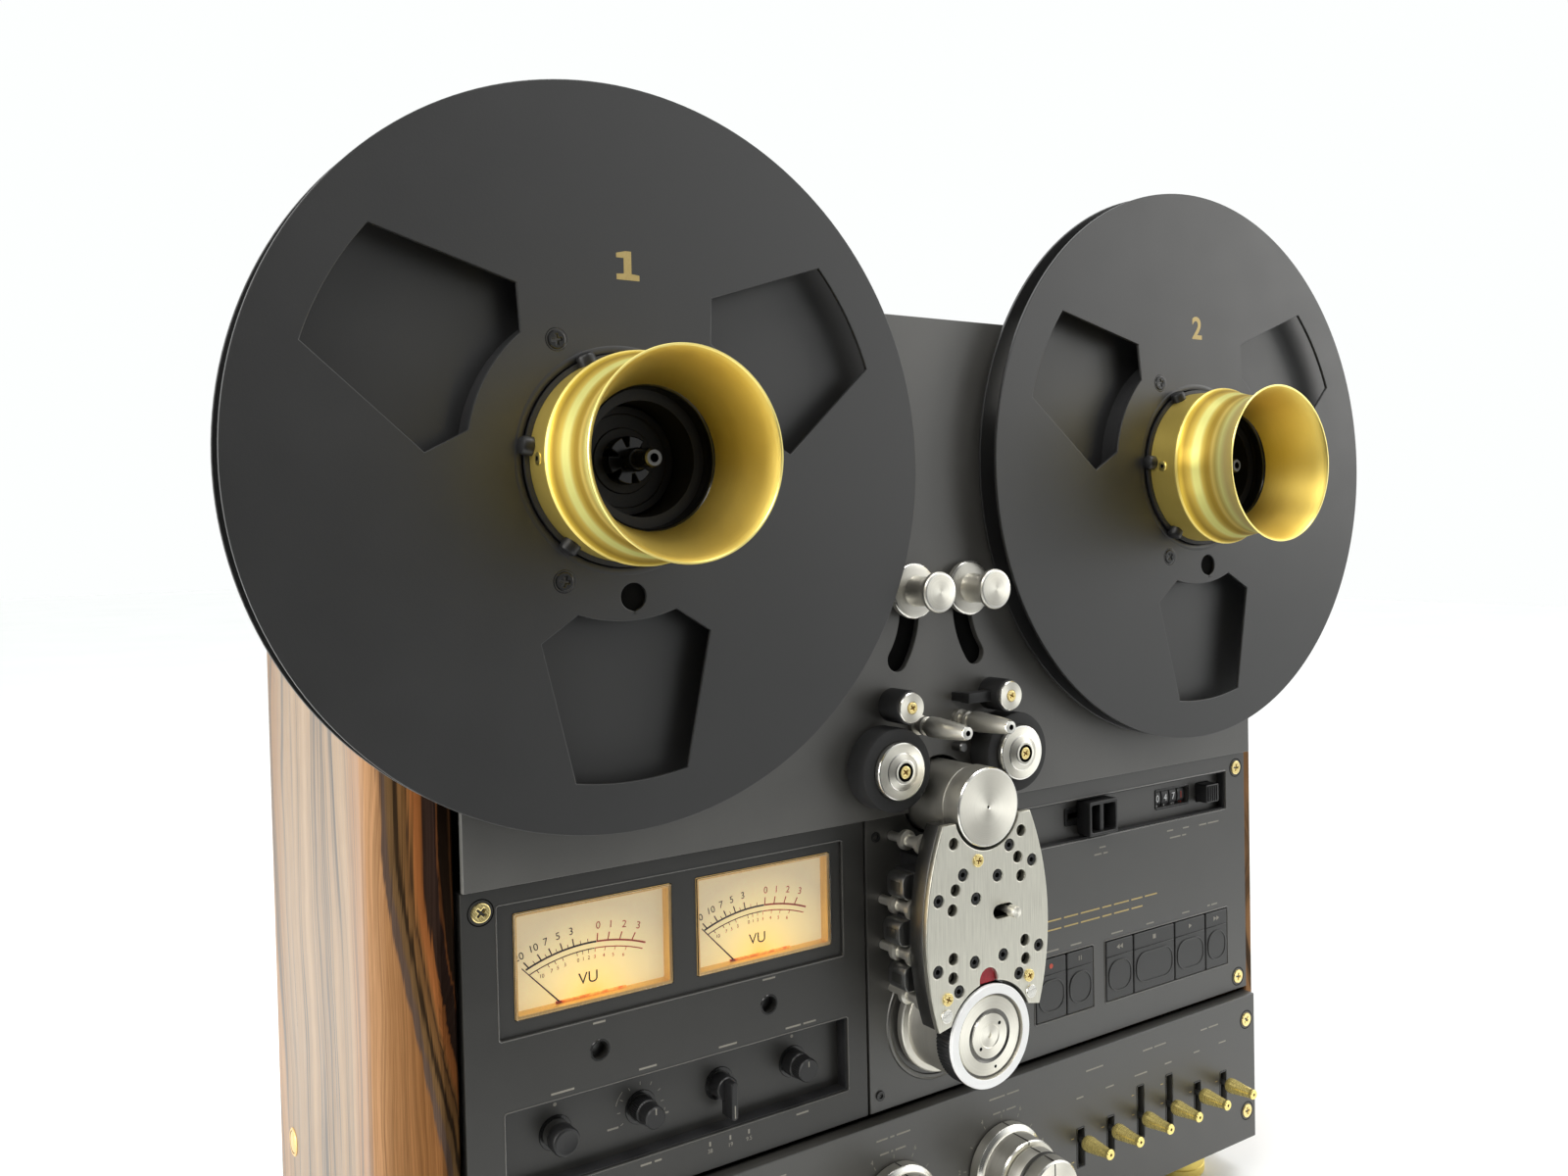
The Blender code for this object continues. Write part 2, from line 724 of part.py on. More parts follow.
def make_meter_case(looks):
    """The lamp box behind the panel, whose two raised faces carry the scales."""
    back = PANEL_THICK + 1.0 + 2 * GAP
    case = box("meter_case", (-197, -53), (back, 30), (-204, -158), looks["dial"])
    for hand, xs in zip(("left", "right"), METER_X):
        inner_x = (xs[0] + 1.8, xs[1] - 1.8)
        inner_z = (METER_Z[0] + 1.8, METER_Z[1] - 1.8)
        join(case, box("dial_" + hand, inner_x, (6.5, back + 1), inner_z))


def make_meter_window(looks):
    """One clear moulding: two covers on a flange that is held behind the panel."""
    flange = (PANEL_THICK + GAP, PANEL_THICK + GAP + 1.0)
    window = box("meter_window", (-197, -53), flange, (-204, -158), looks["glass"])
    for hand, xs in zip(("left", "right"), METER_X):
        outer_x = (xs[0] + GAP, xs[1] - GAP)
        outer_z = (METER_Z[0] + GAP, METER_Z[1] - GAP)
        inner_x = (xs[0] + 1.4, xs[1] - 1.4)
        inner_z = (METER_Z[0] + 1.4, METER_Z[1] - 1.4)
        join(window, box("cover_" + hand, outer_x, (0.2, flange[1]), outer_z))
        cut(window, box("cover_inside_" + hand, inner_x, (1.6, flange[1] + 1), inner_z))


def make_needle(hand, xs, looks):
    """A thin pointer turning on a pivot below the scale."""
    x = sum(xs) / 2
    pivot = at(x, 0, NEEDLE_PIVOT_Z)
    lean = NEEDLE_REST
    along = Vector((-math.sin(lean), math.cos(lean)))
    across = Vector((along.y, -along.x)) * 0.35
    start = Vector((x, NEEDLE_PIVOT_Z)) + along * 20.4
    end = Vector((x, NEEDLE_PIVOT_Z)) + along * NEEDLE_LENGTH
    outline = [start + across, end + across * 0.6, end - across * 0.6, start - across]
    outline = [tuple(point) for point in outline]
    prism("needle_" + hand, outline, (4.2, 4.7), looks["black"], origin=pivot)


def make_tray_knob(name, x, profile, looks):
    return turned(name, at(x, 0, TRAY_KNOB_Z), profile, looks["black"], sides=SMALL_ROUND)


def make_tray_controls(looks):
    power, pitch, speed, timer = TRAY_KNOB_X
    shaft = [(0, 14.0), (2.2, 14.0)]
    profile = shaft + [(2.2, 2.6), (4.6, 2.6), (4.6, -0.6), (4.2, -1.0), (4.2, -3.7), (0, -3.7)]
    make_tray_knob("power_button", power, profile, looks)
    profile = shaft + [(2.2, 6.5), (4.8, 6.5), (4.8, 1.2), (4.2, 0.6), (4.2, -6.0), (0, -6.0)]
    make_tray_knob("pitch_knob", pitch, profile, looks)
    profile = shaft + [(2.2, 6.5), (4.6, 6.5), (4.6, -7.3), (0, -7.3)]
    make_tray_knob("timer_knob", timer, profile, looks)
    profile = shaft + [(2.2, 6.5), (4.6, 6.5), (4.6, 0.0), (0, 0.0)]
    knob = make_tray_knob("speed_selector", speed, profile, looks)
    low = TRAY_KNOB_Z - 11.0
    join(knob, box("speed_bar", (speed - 1.4, speed + 1.4), (-5.0, 3.0), (low, TRAY_KNOB_Z + 4)))


def make_counter_controls(looks):
    """The square cue cup and the counter's reset key."""
    cue = box("cue_lever", (92.1, 111.7), (-4.0, 4.5), (-177.0, -160.2), looks["black"])
    cut(cue, box("cue_cup", (93.7, 110.1), (-5.0, 2.5), (-175.4, -161.8)))
    join(cue, box("cue_stem", (100.0, 104.0), (4.0, 12.0), (-169.0, -166.6)))
    box("counter_reset", (180.0, 190.0), (-2.4, 12.0), (-173.2, -163.8), looks["black"])


def make_buttons(looks):
    """The logic keys of the transport."""
    groups = (
        (BUTTON_NAMES_SMALL, BUTTON_EDGES_SMALL),
        (BUTTON_NAMES_BIG, BUTTON_EDGES_BIG),
    )
    for names, edges in groups:
        for name, left, right in zip(names, edges, edges[1:]):
            xs = (left + GAP, right - GAP)
            heights = (BUTTON_Z[0] + GAP, BUTTON_Z[1] - GAP)
            key = box("button_" + name, xs, (-0.4, 7.5), heights, looks["panel"])
            bevel(key, 0.4)


def make_level_knobs(looks):
    """Two knobs on one axis: a wide rear ring and a taller front one inside it."""
    for name, x in LEVEL_KNOBS:
        rear = [
            (4.0, AMP_FRONT - GAP),
            (20.0, AMP_FRONT - GAP),
            (20.0, -11.0),
            (17.6, -13.0),
            (17.2, -23.0),
            (4.0, -23.0),
        ]
        front = [
            (0, 12.0),
            (3.6, 12.0),
            (3.6, -23.0 - GAP),
            (15.4, -23.0 - GAP),
            (14.6, -38.6),
            (14.0, -39.2),
            (0, -39.2),
        ]
        place = at(x, 0, LEVEL_HEIGHT)
        if name == "mic":
            turned("mic_level_knob", place, front_of_pair(front, rear), looks["silver"], sides=24)
            continue
        turned(name + "_knob_rear", place, rear, looks["silver"], sides=24, hollow=True)
        turned(name + "_knob_front", place, front, looks["silver"], sides=24)


def front_of_pair(front, rear):
    """One outline for a pair that is made as a single turned piece."""
    steps = rear[1:5]
    return front[:2] + [(3.6, AMP_FRONT - GAP)] + steps + front[3:]


def make_levers(looks):
    """Bat levers that tip up and down in their slots."""
    profile = [
        (0, LEVER_PIVOT_DEPTH + 2.5),
        (2.5, LEVER_PIVOT_DEPTH + 2.5),
        (2.5, LEVER_PIVOT_DEPTH - 2.5),
        (1.4, LEVER_PIVOT_DEPTH - 3.5),
        (1.4, -9.0),
        (3.2, -11.0),
        (3.4, -13.5),
        (2.3, -22.5),
        (2.6, -23.4),
        (2.4, -24.5),
        (0, -24.5),
    ]
    shifted = [(radius, depth - LEVER_PIVOT_DEPTH) for radius, depth in profile]
    for index, x in enumerate(LEVER_X):
        place = at(x, LEVER_PIVOT_DEPTH, LEVER_HEIGHT)
        turned("lever_switch_%d" % (index + 1), place, shifted, looks["gold"], sides=10)


def main():
    clear_scene()
    looks = make_materials()
    make_side_panel("side_panel_left", -1, looks)
    make_side_panel("side_panel_right", 1, looks)
    make_cabinet_shell(looks)
    make_feet(looks)
    make_deck_panel(looks)
    make_meter_panel(looks)
    make_head_base_panel(looks)
    make_control_panel(looks)
    make_amplifier_panel(looks)
    for hand, side, turn in (("left", -1, REEL_TURN_LEFT), ("right", 1, REEL_TURN_RIGHT)):
        make_reel(hand, side, turn, looks)
        make_adapter(hand, side, looks)
        make_reel_table(hand, side, looks)
        make_tension(hand, side, looks)
        make_idler(hand, side, looks)
        make_pinch(hand, side, looks)
    make_capstan(looks)
    make_reversing_roller(looks)
    make_head_plate(looks)
    make_head_block(looks)
    make_head_selector(looks)
    make_meter_case(looks)
    make_meter_window(looks)
    for hand, xs in zip(("left", "right"), METER_X):
        make_needle(hand, xs, looks)
    make_tray_controls(looks)
    make_counter_controls(looks)
    make_buttons(looks)
    make_level_knobs(looks)
    make_levers(looks)


main()
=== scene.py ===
"""Looks for the reel to reel tape deck: detailed pieces, procedural finishes, light and camera."""

from math import acos, asin, atan2, cos, hypot, pi, radians, sin, sqrt, tau

import bmesh
import bpy
from mathutils import Matrix, Vector


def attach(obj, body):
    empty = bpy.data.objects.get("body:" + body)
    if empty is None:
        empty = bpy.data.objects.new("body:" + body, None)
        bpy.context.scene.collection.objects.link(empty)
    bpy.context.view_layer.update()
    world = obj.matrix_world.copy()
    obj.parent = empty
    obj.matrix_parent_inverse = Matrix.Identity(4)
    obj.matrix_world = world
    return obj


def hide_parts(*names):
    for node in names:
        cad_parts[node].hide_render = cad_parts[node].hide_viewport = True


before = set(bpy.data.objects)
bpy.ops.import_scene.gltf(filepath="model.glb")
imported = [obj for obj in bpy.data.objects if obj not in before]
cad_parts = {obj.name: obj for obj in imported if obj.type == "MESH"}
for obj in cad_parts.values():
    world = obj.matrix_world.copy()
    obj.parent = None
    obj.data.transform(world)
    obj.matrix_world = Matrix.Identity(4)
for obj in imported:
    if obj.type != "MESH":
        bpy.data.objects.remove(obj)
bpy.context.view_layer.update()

# Sizes are in millimetres: x to the right, depth back from the front face, height from the spindles.
MM = 0.001
SPINDLE_HEIGHT = 381.4
FRONT_PLANE = -73.5
SPINDLE_X = 155.8
PANEL_X = 213.0
CAPSTAN_Z = -144.0
REVERSER_Z = -241.2
METER_X = ((-193.9, -130.1), (-119.7, -56.1))
METER_Z = (-199.7, -160.8)
METER_PIVOT_Z = -212.0
TRAY_KNOB_X = (-177.3, -142.5, -107.7, -72.9)
TRAY_KNOB_Z = -246.6
LEVEL_Z = -317.2
LEVER_X = (82.0, 102.4, 123.8, 144.9, 166.4, 186.8)
SHORT_SLOT = (-332.8, -314.8)
LONG_SLOT = (-331.2, -305.4)
LEVER_SLOTS = (SHORT_SLOT, SHORT_SLOT, LONG_SLOT, LONG_SLOT, SHORT_SLOT, SHORT_SLOT)
KNOB_X = (31.7, -30.0, -91.7)
JACK_X = (-187.0, -160.0, -133.0)
LEVER_Z = -320.2
SIDE_HANDS = (("left", -1), ("right", 1))
SCREW_X = 205.9
SCREW_Z = (-157.9, -269.7)
PANEL_Z = (-276.4, -150.3)
BACKING_Z = (-276.0, -150.7)
GUIDE_PIN = (12.0, -111.5)
IDLER = (27.75, -101.2)
PINCH = (33.6, -127.0)
PINCH_PIVOT = (20.1, -100.3)
TENSION = (15.5, -53.5)
TENSION_PIVOT = (53.2, -60.75)
INK = -0.03
TRAY_INK = 6.96
LOW_INK = -5.03
SIDES = 96


def at(x, depth, height):
    return Vector((x, FRONT_PLANE + depth, SPINDLE_HEIGHT + height)) * MM


# Finishes


class Flow:
    """A number on its way through a finish's nodes, which takes part in plain sums."""

    def __init__(self, finish, socket):
        self.finish = finish
        self.socket = socket

    def __add__(self, other):
        return self.finish.sum("ADD", self, other)

    def __sub__(self, other):
        return self.finish.sum("SUBTRACT", self, other)

    def __mul__(self, other):
        return self.finish.sum("MULTIPLY", self, other)


class Finish:
    """A procedural material: a Principled shader and the nodes that feed it."""

    def __init__(self, name, rough=0.5, metal=0.0, **sockets):
        self.mat = bpy.data.materials.new(name)
        self.mat.use_nodes = True
        self.tree = self.mat.node_tree
        self.shader = self.tree.nodes["Principled BSDF"]
        self.shader.inputs["Roughness"].default_value = rough
        self.shader.inputs["Metallic"].default_value = metal
        for key, value in sockets.items():
            self.shader.inputs[key.replace("_", " ")].default_value = value
        self.coords = self.node("TexCoord").outputs["Object"]
        ALL[name] = self.mat

    def node(self, kind, inputs=None, **props):
        made = self.tree.nodes.new("ShaderNode" + kind)
        for key, value in props.items():
            setattr(made, key, value)
        for key, value in (inputs or {}).items():
            self.put(value, made.inputs[key])
        return made

    def put(self, value, socket):
        if isinstance(value, Flow):
            value = value.socket
        if isinstance(value, bpy.types.NodeSocket):
            self.tree.links.new(value, socket)
        else:
            socket.default_value = value

    def feed(self, value, name):
        self.put(value, self.shader.inputs[name])

    def sum(self, operation, first, second=0.0):
        made = self.node("Math", {0: first, 1: second}, operation=operation)
        return Flow(self, made.outputs[0])

    def place(self):
        """The three object coordinates: across, back and up, in metres."""
        parts = self.node("SeparateXYZ", {0: self.coords}).outputs
        return [Flow(self, part) for part in parts]

    def joined(self, x, y, z=0.0):
        return self.node("CombineXYZ", {0: x, 1: y, 2: z}).outputs[0]

    def scaled(self, scale):
        return self.node("Mapping", {"Vector": self.coords, "Scale": scale}).outputs[0]

    def noise(self, scale, detail=3.0, coords=None, rough=0.55, distort=0.0):
        inputs = {"Scale": scale, "Detail": detail, "Roughness": rough, "Distortion": distort}
        inputs["Vector"] = self.coords if coords is None else coords
        return Flow(self, self.node("TexNoise", inputs).outputs["Fac"])

    def rings(self):
        """Coordinates that are the same all round the Y axis, for turned work."""
        scale = 2600.0
        x, y, z = self.place()
        radius = self.sum("SQRT", x * x + z * z)
        return self.joined(radius * scale, y * scale)

    def fan(self):
        """Two soft wedges about the Y axis, lighter and darker: a painted highlight for the bow-tie sheen of
        spun metal.
        """
        strength = 0.16
        x, _, z = self.place()
        angle = self.sum("ARCTAN2", z, x)
        return self.sum("SINE", angle * 2.0 + 2.4) * strength

    def ramp(self, fac, stops):
        made = self.node("ValToRGB", {0: fac})
        made.color_ramp.elements[0].position = stops[0][0]
        made.color_ramp.elements[0].color = (*stops[0][1], 1.0)
        made.color_ramp.elements[1].position = stops[-1][0]
        made.color_ramp.elements[1].color = (*stops[-1][1], 1.0)
        for place, colour in stops[1:-1]:
            made.color_ramp.elements.new(place).color = (*colour, 1.0)
        return made.outputs[0]

    def over(self, value, start, end, low=0.0, high=1.0, **props):
        """Map start..end to low..high, and hold it there outside."""
        inputs = {"Value": value, "From Min": start, "From Max": end, "To Min": low, "To Max": high}
        return Flow(self, self.node("MapRange", inputs, **props).outputs[0])

    def span(self, fac, low, high):
        """Map the middle of a noise to low..high."""
        return self.over(fac, 0.3, 0.7, low, high)

    def blend(self, amount, first, second, way="MIX"):
        inputs = {0: amount, 6: first, 7: second}
        return self.node("Mix", inputs, data_type="RGBA", blend_type=way).outputs[2]

    def colour(self, value):
        self.feed(value, "Base Color")

    def rough(self, value):
        self.feed(value, "Roughness")

    def bump(self, height, distance):
        made = self.node("Bump", {"Height": height, "Distance": distance, "Strength": 1.0})
        self.feed(made.outputs[0], "Normal")


ALL = {}


def grained(name, dark, light, rough, metal=0.0, grain=1500.0, depth=0.00002, **sockets):
    """Paint, plastic or rubber: mottled colour, uneven gloss and a fine grain."""
    made = Finish(name, rough, metal, **sockets)
    broad = made.noise(45.0, 4.0)
    fine = made.noise(grain, 3.0)
    made.colour(made.ramp(broad * 0.6 + fine * 0.4, [(0.35, dark), (0.65, light)]))
    made.rough(made.span(broad, rough - 0.02, rough + 0.02))
    made.bump(fine, depth)
    return made


def spun(name, dark, light, rough, depth=0.00001, turn=0.0, **sockets):
    """Metal turned on a lathe, with fine rings round the Y axis."""
    made = Finish(name, rough, 1.0, **sockets)
    lines = made.noise(1.0, 4.0, made.rings(), 0.7)
    mixed = lines * 0.75 + made.noise(120.0, 3.0) * 0.25
    if turn:
        # Painted highlight wedges, for the sheen of spun metal, go into the colour.
        mixed = mixed + made.fan()
    made.colour(made.ramp(mixed, [(0.3, dark), (0.7, light)]))
    made.rough(made.span(lines, rough - 0.07, rough + 0.07))
    made.bump(lines, depth)
    if turn:
        tangent = made.node("Tangent", direction_type="RADIAL", axis="Y")
        made.feed(turn, "Anisotropic")
        made.feed(tangent.outputs[0], "Tangent")
    return made


def brushed(name, dark, light, rough):
    """Metal brushed in long lines."""
    made = Finish(name, rough, 1.0)
    lines = made.noise(1.0, 3.0, made.scaled((3000.0, 3000.0, 60.0)), 0.65)
    made.colour(made.ramp(lines, [(0.3, dark), (0.7, light)]))
    made.rough(made.span(lines, rough - 0.08, rough + 0.08))
    made.bump(lines, 0.00001)


def make_wood():
    """Figured veneer: pale stripes on the sides, and a dark figure where they taper to the front."""
    made = Finish("rosewood_gloss", 0.38, 0.0, Coat_Roughness=0.12, Specular_IOR_Level=0.3)
    x, y, z = made.place()
    wander = made.noise(1.0, 3.0, made.scaled((9.0, 9.0, 3.2)), 0.5)
    across = y + wander * 0.055 + x * 0.35
    bands = made.noise(1.0, 5.0, made.joined(across * 68.0, 0.0, z * 0.9), 0.62, 0.25)
    lines = made.noise(1.0, 4.0, made.joined(across * 520.0, 0.0, z * 5.0), 0.6)
    pores = made.noise(1.0, 2.0, made.scaled((2600.0, 2600.0, 70.0)), 0.6)
    pale = [
        (0.38, (0.040, 0.034, 0.029)), (0.435, (0.085, 0.070, 0.056)), (0.470, (0.220, 0.158, 0.103)),
        (0.51, (0.295, 0.204, 0.124)), (0.58, (0.345, 0.245, 0.153)), (0.68, (0.375, 0.272, 0.176)),
    ]
    # The dark figure starts at a line that bends back as it rises, and goes on round the front edge.
    edge = made.over(z, 0.100, 0.240, -0.0875, -0.0275, interpolation_type="SMOOTHSTEP")
    inward = made.sum("SUBTRACT", 0.2205, made.sum("ABSOLUTE", x))
    inward = made.sum("MAXIMUM", inward, 0.0) * 2.8
    figure = edge - y + inward + (wander - 0.5) * 0.030 + (lines - 0.5) * 0.014
    dark = [
        (0.000, (0.068, 0.046, 0.035)), (0.090, (0.068, 0.046, 0.035)), (0.125, (0.094, 0.055, 0.024)),
        (0.175, (0.094, 0.055, 0.024)), (0.205, (0.021, 0.013, 0.007)), (0.240, (0.021, 0.013, 0.007)),
        (0.275, (0.105, 0.055, 0.021)), (0.330, (0.093, 0.046, 0.017)), (0.355, (0.030, 0.017, 0.009)),
        (0.380, (0.118, 0.055, 0.019)), (0.430, (0.186, 0.068, 0.021)), (0.500, (0.155, 0.056, 0.017)),
        (0.530, (0.017, 0.010, 0.007)), (0.680, (0.022, 0.013, 0.010)), (0.705, (0.124, 0.046, 0.016)),
        (0.730, (0.018, 0.011, 0.007)), (0.860, (0.018, 0.011, 0.007)), (0.900, (0.083, 0.036, 0.015)),
        (0.940, (0.019, 0.012, 0.009)),
    ]
    tan = [
        (0.00, (0.40, 0.235, 0.125)), (0.25, (0.25, 0.130, 0.056)), (0.55, (0.165, 0.077, 0.028)),
        (1.00, (0.110, 0.048, 0.017)),
    ]
    reach = made.over(figure, 0.0, 0.064)
    forward = made.over(y, -0.010, -0.092)
    near = made.over(figure, -0.0008, 0.0012)
    face = made.blend(near, made.ramp(forward, tan), made.ramp(reach, dark))
    # Fine lines, and a swirl low on the taper.
    swirl = z * -9.0 + forward * 1.2 + wander * 3.4
    swirl = (made.sum("SINE", swirl * 9.0) + 1.0) * 0.5
    swirl = made.over(swirl * made.over(z, 0.10, 0.06), 0.70, 0.98, 1.0, 0.55)
    streak = made.span(lines, 0.62, 1.18) * swirl
    lined = made.blend(1.0, face, made.joined(streak, streak, streak), "MULTIPLY")
    # The stripes are warmer near the front and the back.
    warmth = [
        (0.00, (1.06, 0.84, 0.66)), (0.09, (1.04, 0.86, 0.70)), (0.16, (1.0, 1.0, 1.0)),
        (0.84, (1.0, 1.0, 1.0)), (0.94, (1.02, 0.82, 0.60)), (1.00, (0.96, 0.76, 0.52)),
    ]
    stripes = made.ramp(bands * 0.58 + lines * 0.42, pale)
    depths = made.over(y, -0.010, 0.140)
    warmed = made.blend(1.0, stripes, made.ramp(depths, warmth), "MULTIPLY")
    back = made.over(y, -0.012, -0.004)
    right = made.sum("GREATER_THAN", x, 0.0)
    base = made.blend(made.sum("MAXIMUM", back, right), lined, warmed)
    made.colour(made.blend(made.span(pores, 0.35, 0.0), base, (0.35, 0.22, 0.16, 1.0), "MULTIPLY"))
    made.rough(made.span(lines, 0.26, 0.42))
    made.feed(back * 0.14, "Coat Weight")
    made.feed(back * 0.2, "Specular IOR Level")
    made.bump(pores, 0.000012)


def make_bell_gold():
    """Anodised gold with light and dark rings painted along its depth: painted reflections and shade for its
    turned steps.
    """
    made = Finish("gold_painted_bands", 0.36, 0.6, Specular_IOR_Level=0.3)
    along = made.over(made.place()[1], -0.0362, -0.068)
    lines = made.noise(1.0, 4.0, made.rings(), 0.7)
    # Painted highlight and shade rings, from the lip back to the rim.
    bands = [
        (0.00, (1.00, 0.90, 0.36)), (0.04, (0.80, 0.56, 0.07)), (0.12, (0.52, 0.33, 0.045)),
        (0.21, (0.85, 0.62, 0.12)), (0.255, (1.00, 0.95, 0.32)), (0.34, (1.00, 0.95, 0.32)),
        (0.39, (0.74, 0.54, 0.10)), (0.45, (0.55, 0.36, 0.055)), (0.50, (0.58, 0.38, 0.060)),
        (0.55, (0.90, 0.68, 0.18)), (0.61, (0.72, 0.56, 0.14)), (0.68, (1.00, 0.95, 0.36)),
        (0.80, (0.85, 0.70, 0.28)), (1.00, (0.85, 0.70, 0.28)),
    ]
    made.colour(made.ramp(along + (lines - 0.5) * 0.03, bands))
    made.rough(made.span(lines, 0.30, 0.42))
    made.bump(lines, 0.000004)


def make_dial():
    """Printed cream card, with the glow of a small warm lamp below it painted on as warmer colour and
    emission.
    """
    made = Finish("dial_card", 0.6)
    x, _, z = made.place()
    side = x * 26.0
    rise = z * 30.0
    away = made.sum("SQRT", side * side + rise * rise) + made.noise(900.0, 3.0) * 0.04
    painted_glow = [
        (0.02, (1.0, 0.50, 0.07)), (0.18, (1.0, 0.70, 0.20)), (0.46, (0.97, 0.76, 0.34)),
        (1.0, (0.82, 0.70, 0.44)),
    ]
    # Warmer colour and emission near the lamp: painted glow on the card.
    made.colour(made.ramp(away, [(0.0, (0.84, 0.66, 0.28)), (1.0, (0.72, 0.62, 0.41))]))
    made.feed(made.ramp(away, painted_glow), "Emission Color")
    made.feed(made.over(away, 0.0, 1.0, 0.98, 0.42), "Emission Strength")


def make_floor_finish():
    made = Finish("floor_paper", 0.7)
    cloud = made.noise(3.0, 3.0)
    made.colour(made.ramp(cloud, [(0.3, (0.90, 0.91, 0.905)), (0.7, (0.93, 0.935, 0.93))]))
    made.bump(made.noise(700.0, 2.0), 0.00002)


def make_clear():
    made = Finish("clear_cover", 0.03, 0.0, IOR=1.45)
    made.feed(1.0, "Transmission Weight")
    dust = made.noise(600.0, 3.0)
    made.colour(made.ramp(dust, [(0.3, (0.97, 0.95, 0.94)), (0.7, (1.0, 0.98, 0.97))]))
    made.rough(made.span(dust, 0.02, 0.05))


def make_finishes():
    grained("panel_paint", (0.0330, 0.0318, 0.0282), (0.0405, 0.0388, 0.0345), 0.40, Specular_IOR_Level=1.0)
    grained("meter_paint", (0.0185, 0.0178, 0.0155), (0.0235, 0.0224, 0.0196), 0.42, Specular_IOR_Level=0.7)
    grained("deck_paint", (0.0810, 0.0787, 0.0715), (0.0930, 0.0904, 0.0825), 0.42, Specular_IOR_Level=1.0)
    # A lighter grey for the rims round openings: a painted highlight.
    grained("painted_edge_highlight", (0.075, 0.071, 0.064), (0.100, 0.095, 0.086), 0.25, Specular_IOR_Level=1.0)
    grained("shell_paint", (0.016, 0.0158, 0.0155), (0.024, 0.0235, 0.023), 0.55, grain=900.0, depth=0.00008)
    grained(
        "reel_anodised", (0.0120, 0.0120, 0.0122), (0.0140, 0.0140, 0.0143), 0.44,
        Specular_IOR_Level=0.85
    )
    grained("hub_black", (0.013, 0.013, 0.014), (0.020, 0.020, 0.021), 0.5)
    grained("black_plastic", (0.008, 0.008, 0.0085), (0.013, 0.013, 0.0135), 0.42)
    grained("key_plastic", (0.012, 0.012, 0.012), (0.017, 0.017, 0.0165), 0.36, Specular_IOR_Level=0.65)
    grained("black_shiny", (0.006, 0.006, 0.006), (0.010, 0.010, 0.010), 0.2)
    grained("tyre_rubber", (0.012, 0.012, 0.0125), (0.020, 0.020, 0.0205), 0.7, grain=2500.0)
    grained("white_ring", (0.93, 0.935, 0.93), (0.97, 0.97, 0.965), 0.3)
    grained("ink_black", (0.014, 0.012, 0.010), (0.024, 0.021, 0.018), 0.6)
    grained("ink_red", (0.50, 0.05, 0.025), (0.62, 0.09, 0.05), 0.5)
    grained("print_gold", (0.44, 0.33, 0.12), (0.54, 0.41, 0.17), 0.4, 0.3)
    grained("print_grey", (0.23, 0.215, 0.18), (0.31, 0.29, 0.245), 0.5)
    grained("red_lens", (0.30, 0.006, 0.015), (0.46, 0.014, 0.03), 0.25)
    # Near-black for holes, hollows, slots and the space behind panels: painted shade.
    grained("painted_shade_black", (0.003, 0.003, 0.003), (0.006, 0.006, 0.006), 0.8, Specular_IOR_Level=0.05)
    dull = {"Metallic": 0.75, "Specular_IOR_Level": 0.3}
    spun("gold_spun", (0.90, 0.70, 0.17), (0.98, 0.80, 0.25), 0.42, depth=0.000004, **dull)
    spun("gold_satin", (0.80, 0.62, 0.15), (0.88, 0.69, 0.19), 0.50, depth=0.000004)
    spun("gold_polished", (0.96, 0.76, 0.24), (1.0, 0.84, 0.32), 0.24, depth=0.000002, Metallic=0.8)
    # Dark brass for the bottoms of slots, grooves and holes in brass: painted shade.
    spun("brass_painted_shade", (0.16, 0.09, 0.03), (0.26, 0.15, 0.05), 0.5)
    spun("gold_bright", (0.94, 0.76, 0.22), (1.0, 0.87, 0.34), 0.32, depth=0.000004)
    spun("silver_spun", (0.72, 0.695, 0.615), (0.93, 0.905, 0.81), 0.38, turn=0.75)
    spun("silver_drum", (0.62, 0.60, 0.54), (0.72, 0.70, 0.635), 0.42, depth=0.000004)
    spun("silver_bright", (0.70, 0.69, 0.64), (0.88, 0.865, 0.81), 0.22)
    spun("dark_spun", (0.10, 0.10, 0.095), (0.18, 0.175, 0.165), 0.35)
    spun("brass_screw", (0.86, 0.66, 0.24), (1.0, 0.84, 0.42), 0.24)
    brushed("plate_brushed", (0.56, 0.545, 0.475), (0.77, 0.755, 0.66), 0.38)
    brushed("steel_zinc", (0.16, 0.16, 0.155), (0.27, 0.27, 0.265), 0.35)
    brushed("copper_trim", (0.80, 0.50, 0.18), (0.98, 0.70, 0.32), 0.36)
    lamp = grained("lamp_amber", (0.80, 0.20, 0.03), (0.95, 0.42, 0.08), 0.3)
    amber = [(0.38, (0.50, 0.06, 0.01)), (0.62, (1.0, 0.50, 0.10))]
    lamp.feed(lamp.ramp(lamp.noise(420.0), amber), "Emission Color")
    lamp.feed(0.8, "Emission Strength")
    make_wood()
    make_bell_gold()
    make_dial()
    make_clear()
    make_floor_finish()


# Shapes


def arc(centre, radius, start, end, steps):
    """Points along an arc, with both ends."""
    points = []
    for step in range(steps + 1):
        angle = start + (end - start) * step / steps
        x = centre[0] + radius * cos(angle)
        points.append((x, centre[1] + radius * sin(angle)))
    return points


def ring(x, height, radius, steps=40):
    return arc((x, height), radius, 0.0, tau, steps)[:-1]


def rect(xs, heights, corner=0.0, steps=4):
    """A rectangle, with its corners rounded if they have a radius."""
    left, right = xs
    low, high = heights
    if not corner:
        return [(left, low), (right, low), (right, high), (left, high)]
    points = []
    quarter = pi / 2
    middles = (
        (right - corner, high - corner), (left + corner, high - corner), (left + corner, low + corner),
        (right - corner, low + corner),
    )
    for turn, middle in enumerate(middles):
        points += arc(middle, corner, turn * quarter, (turn + 1) * quarter, steps)
    return points


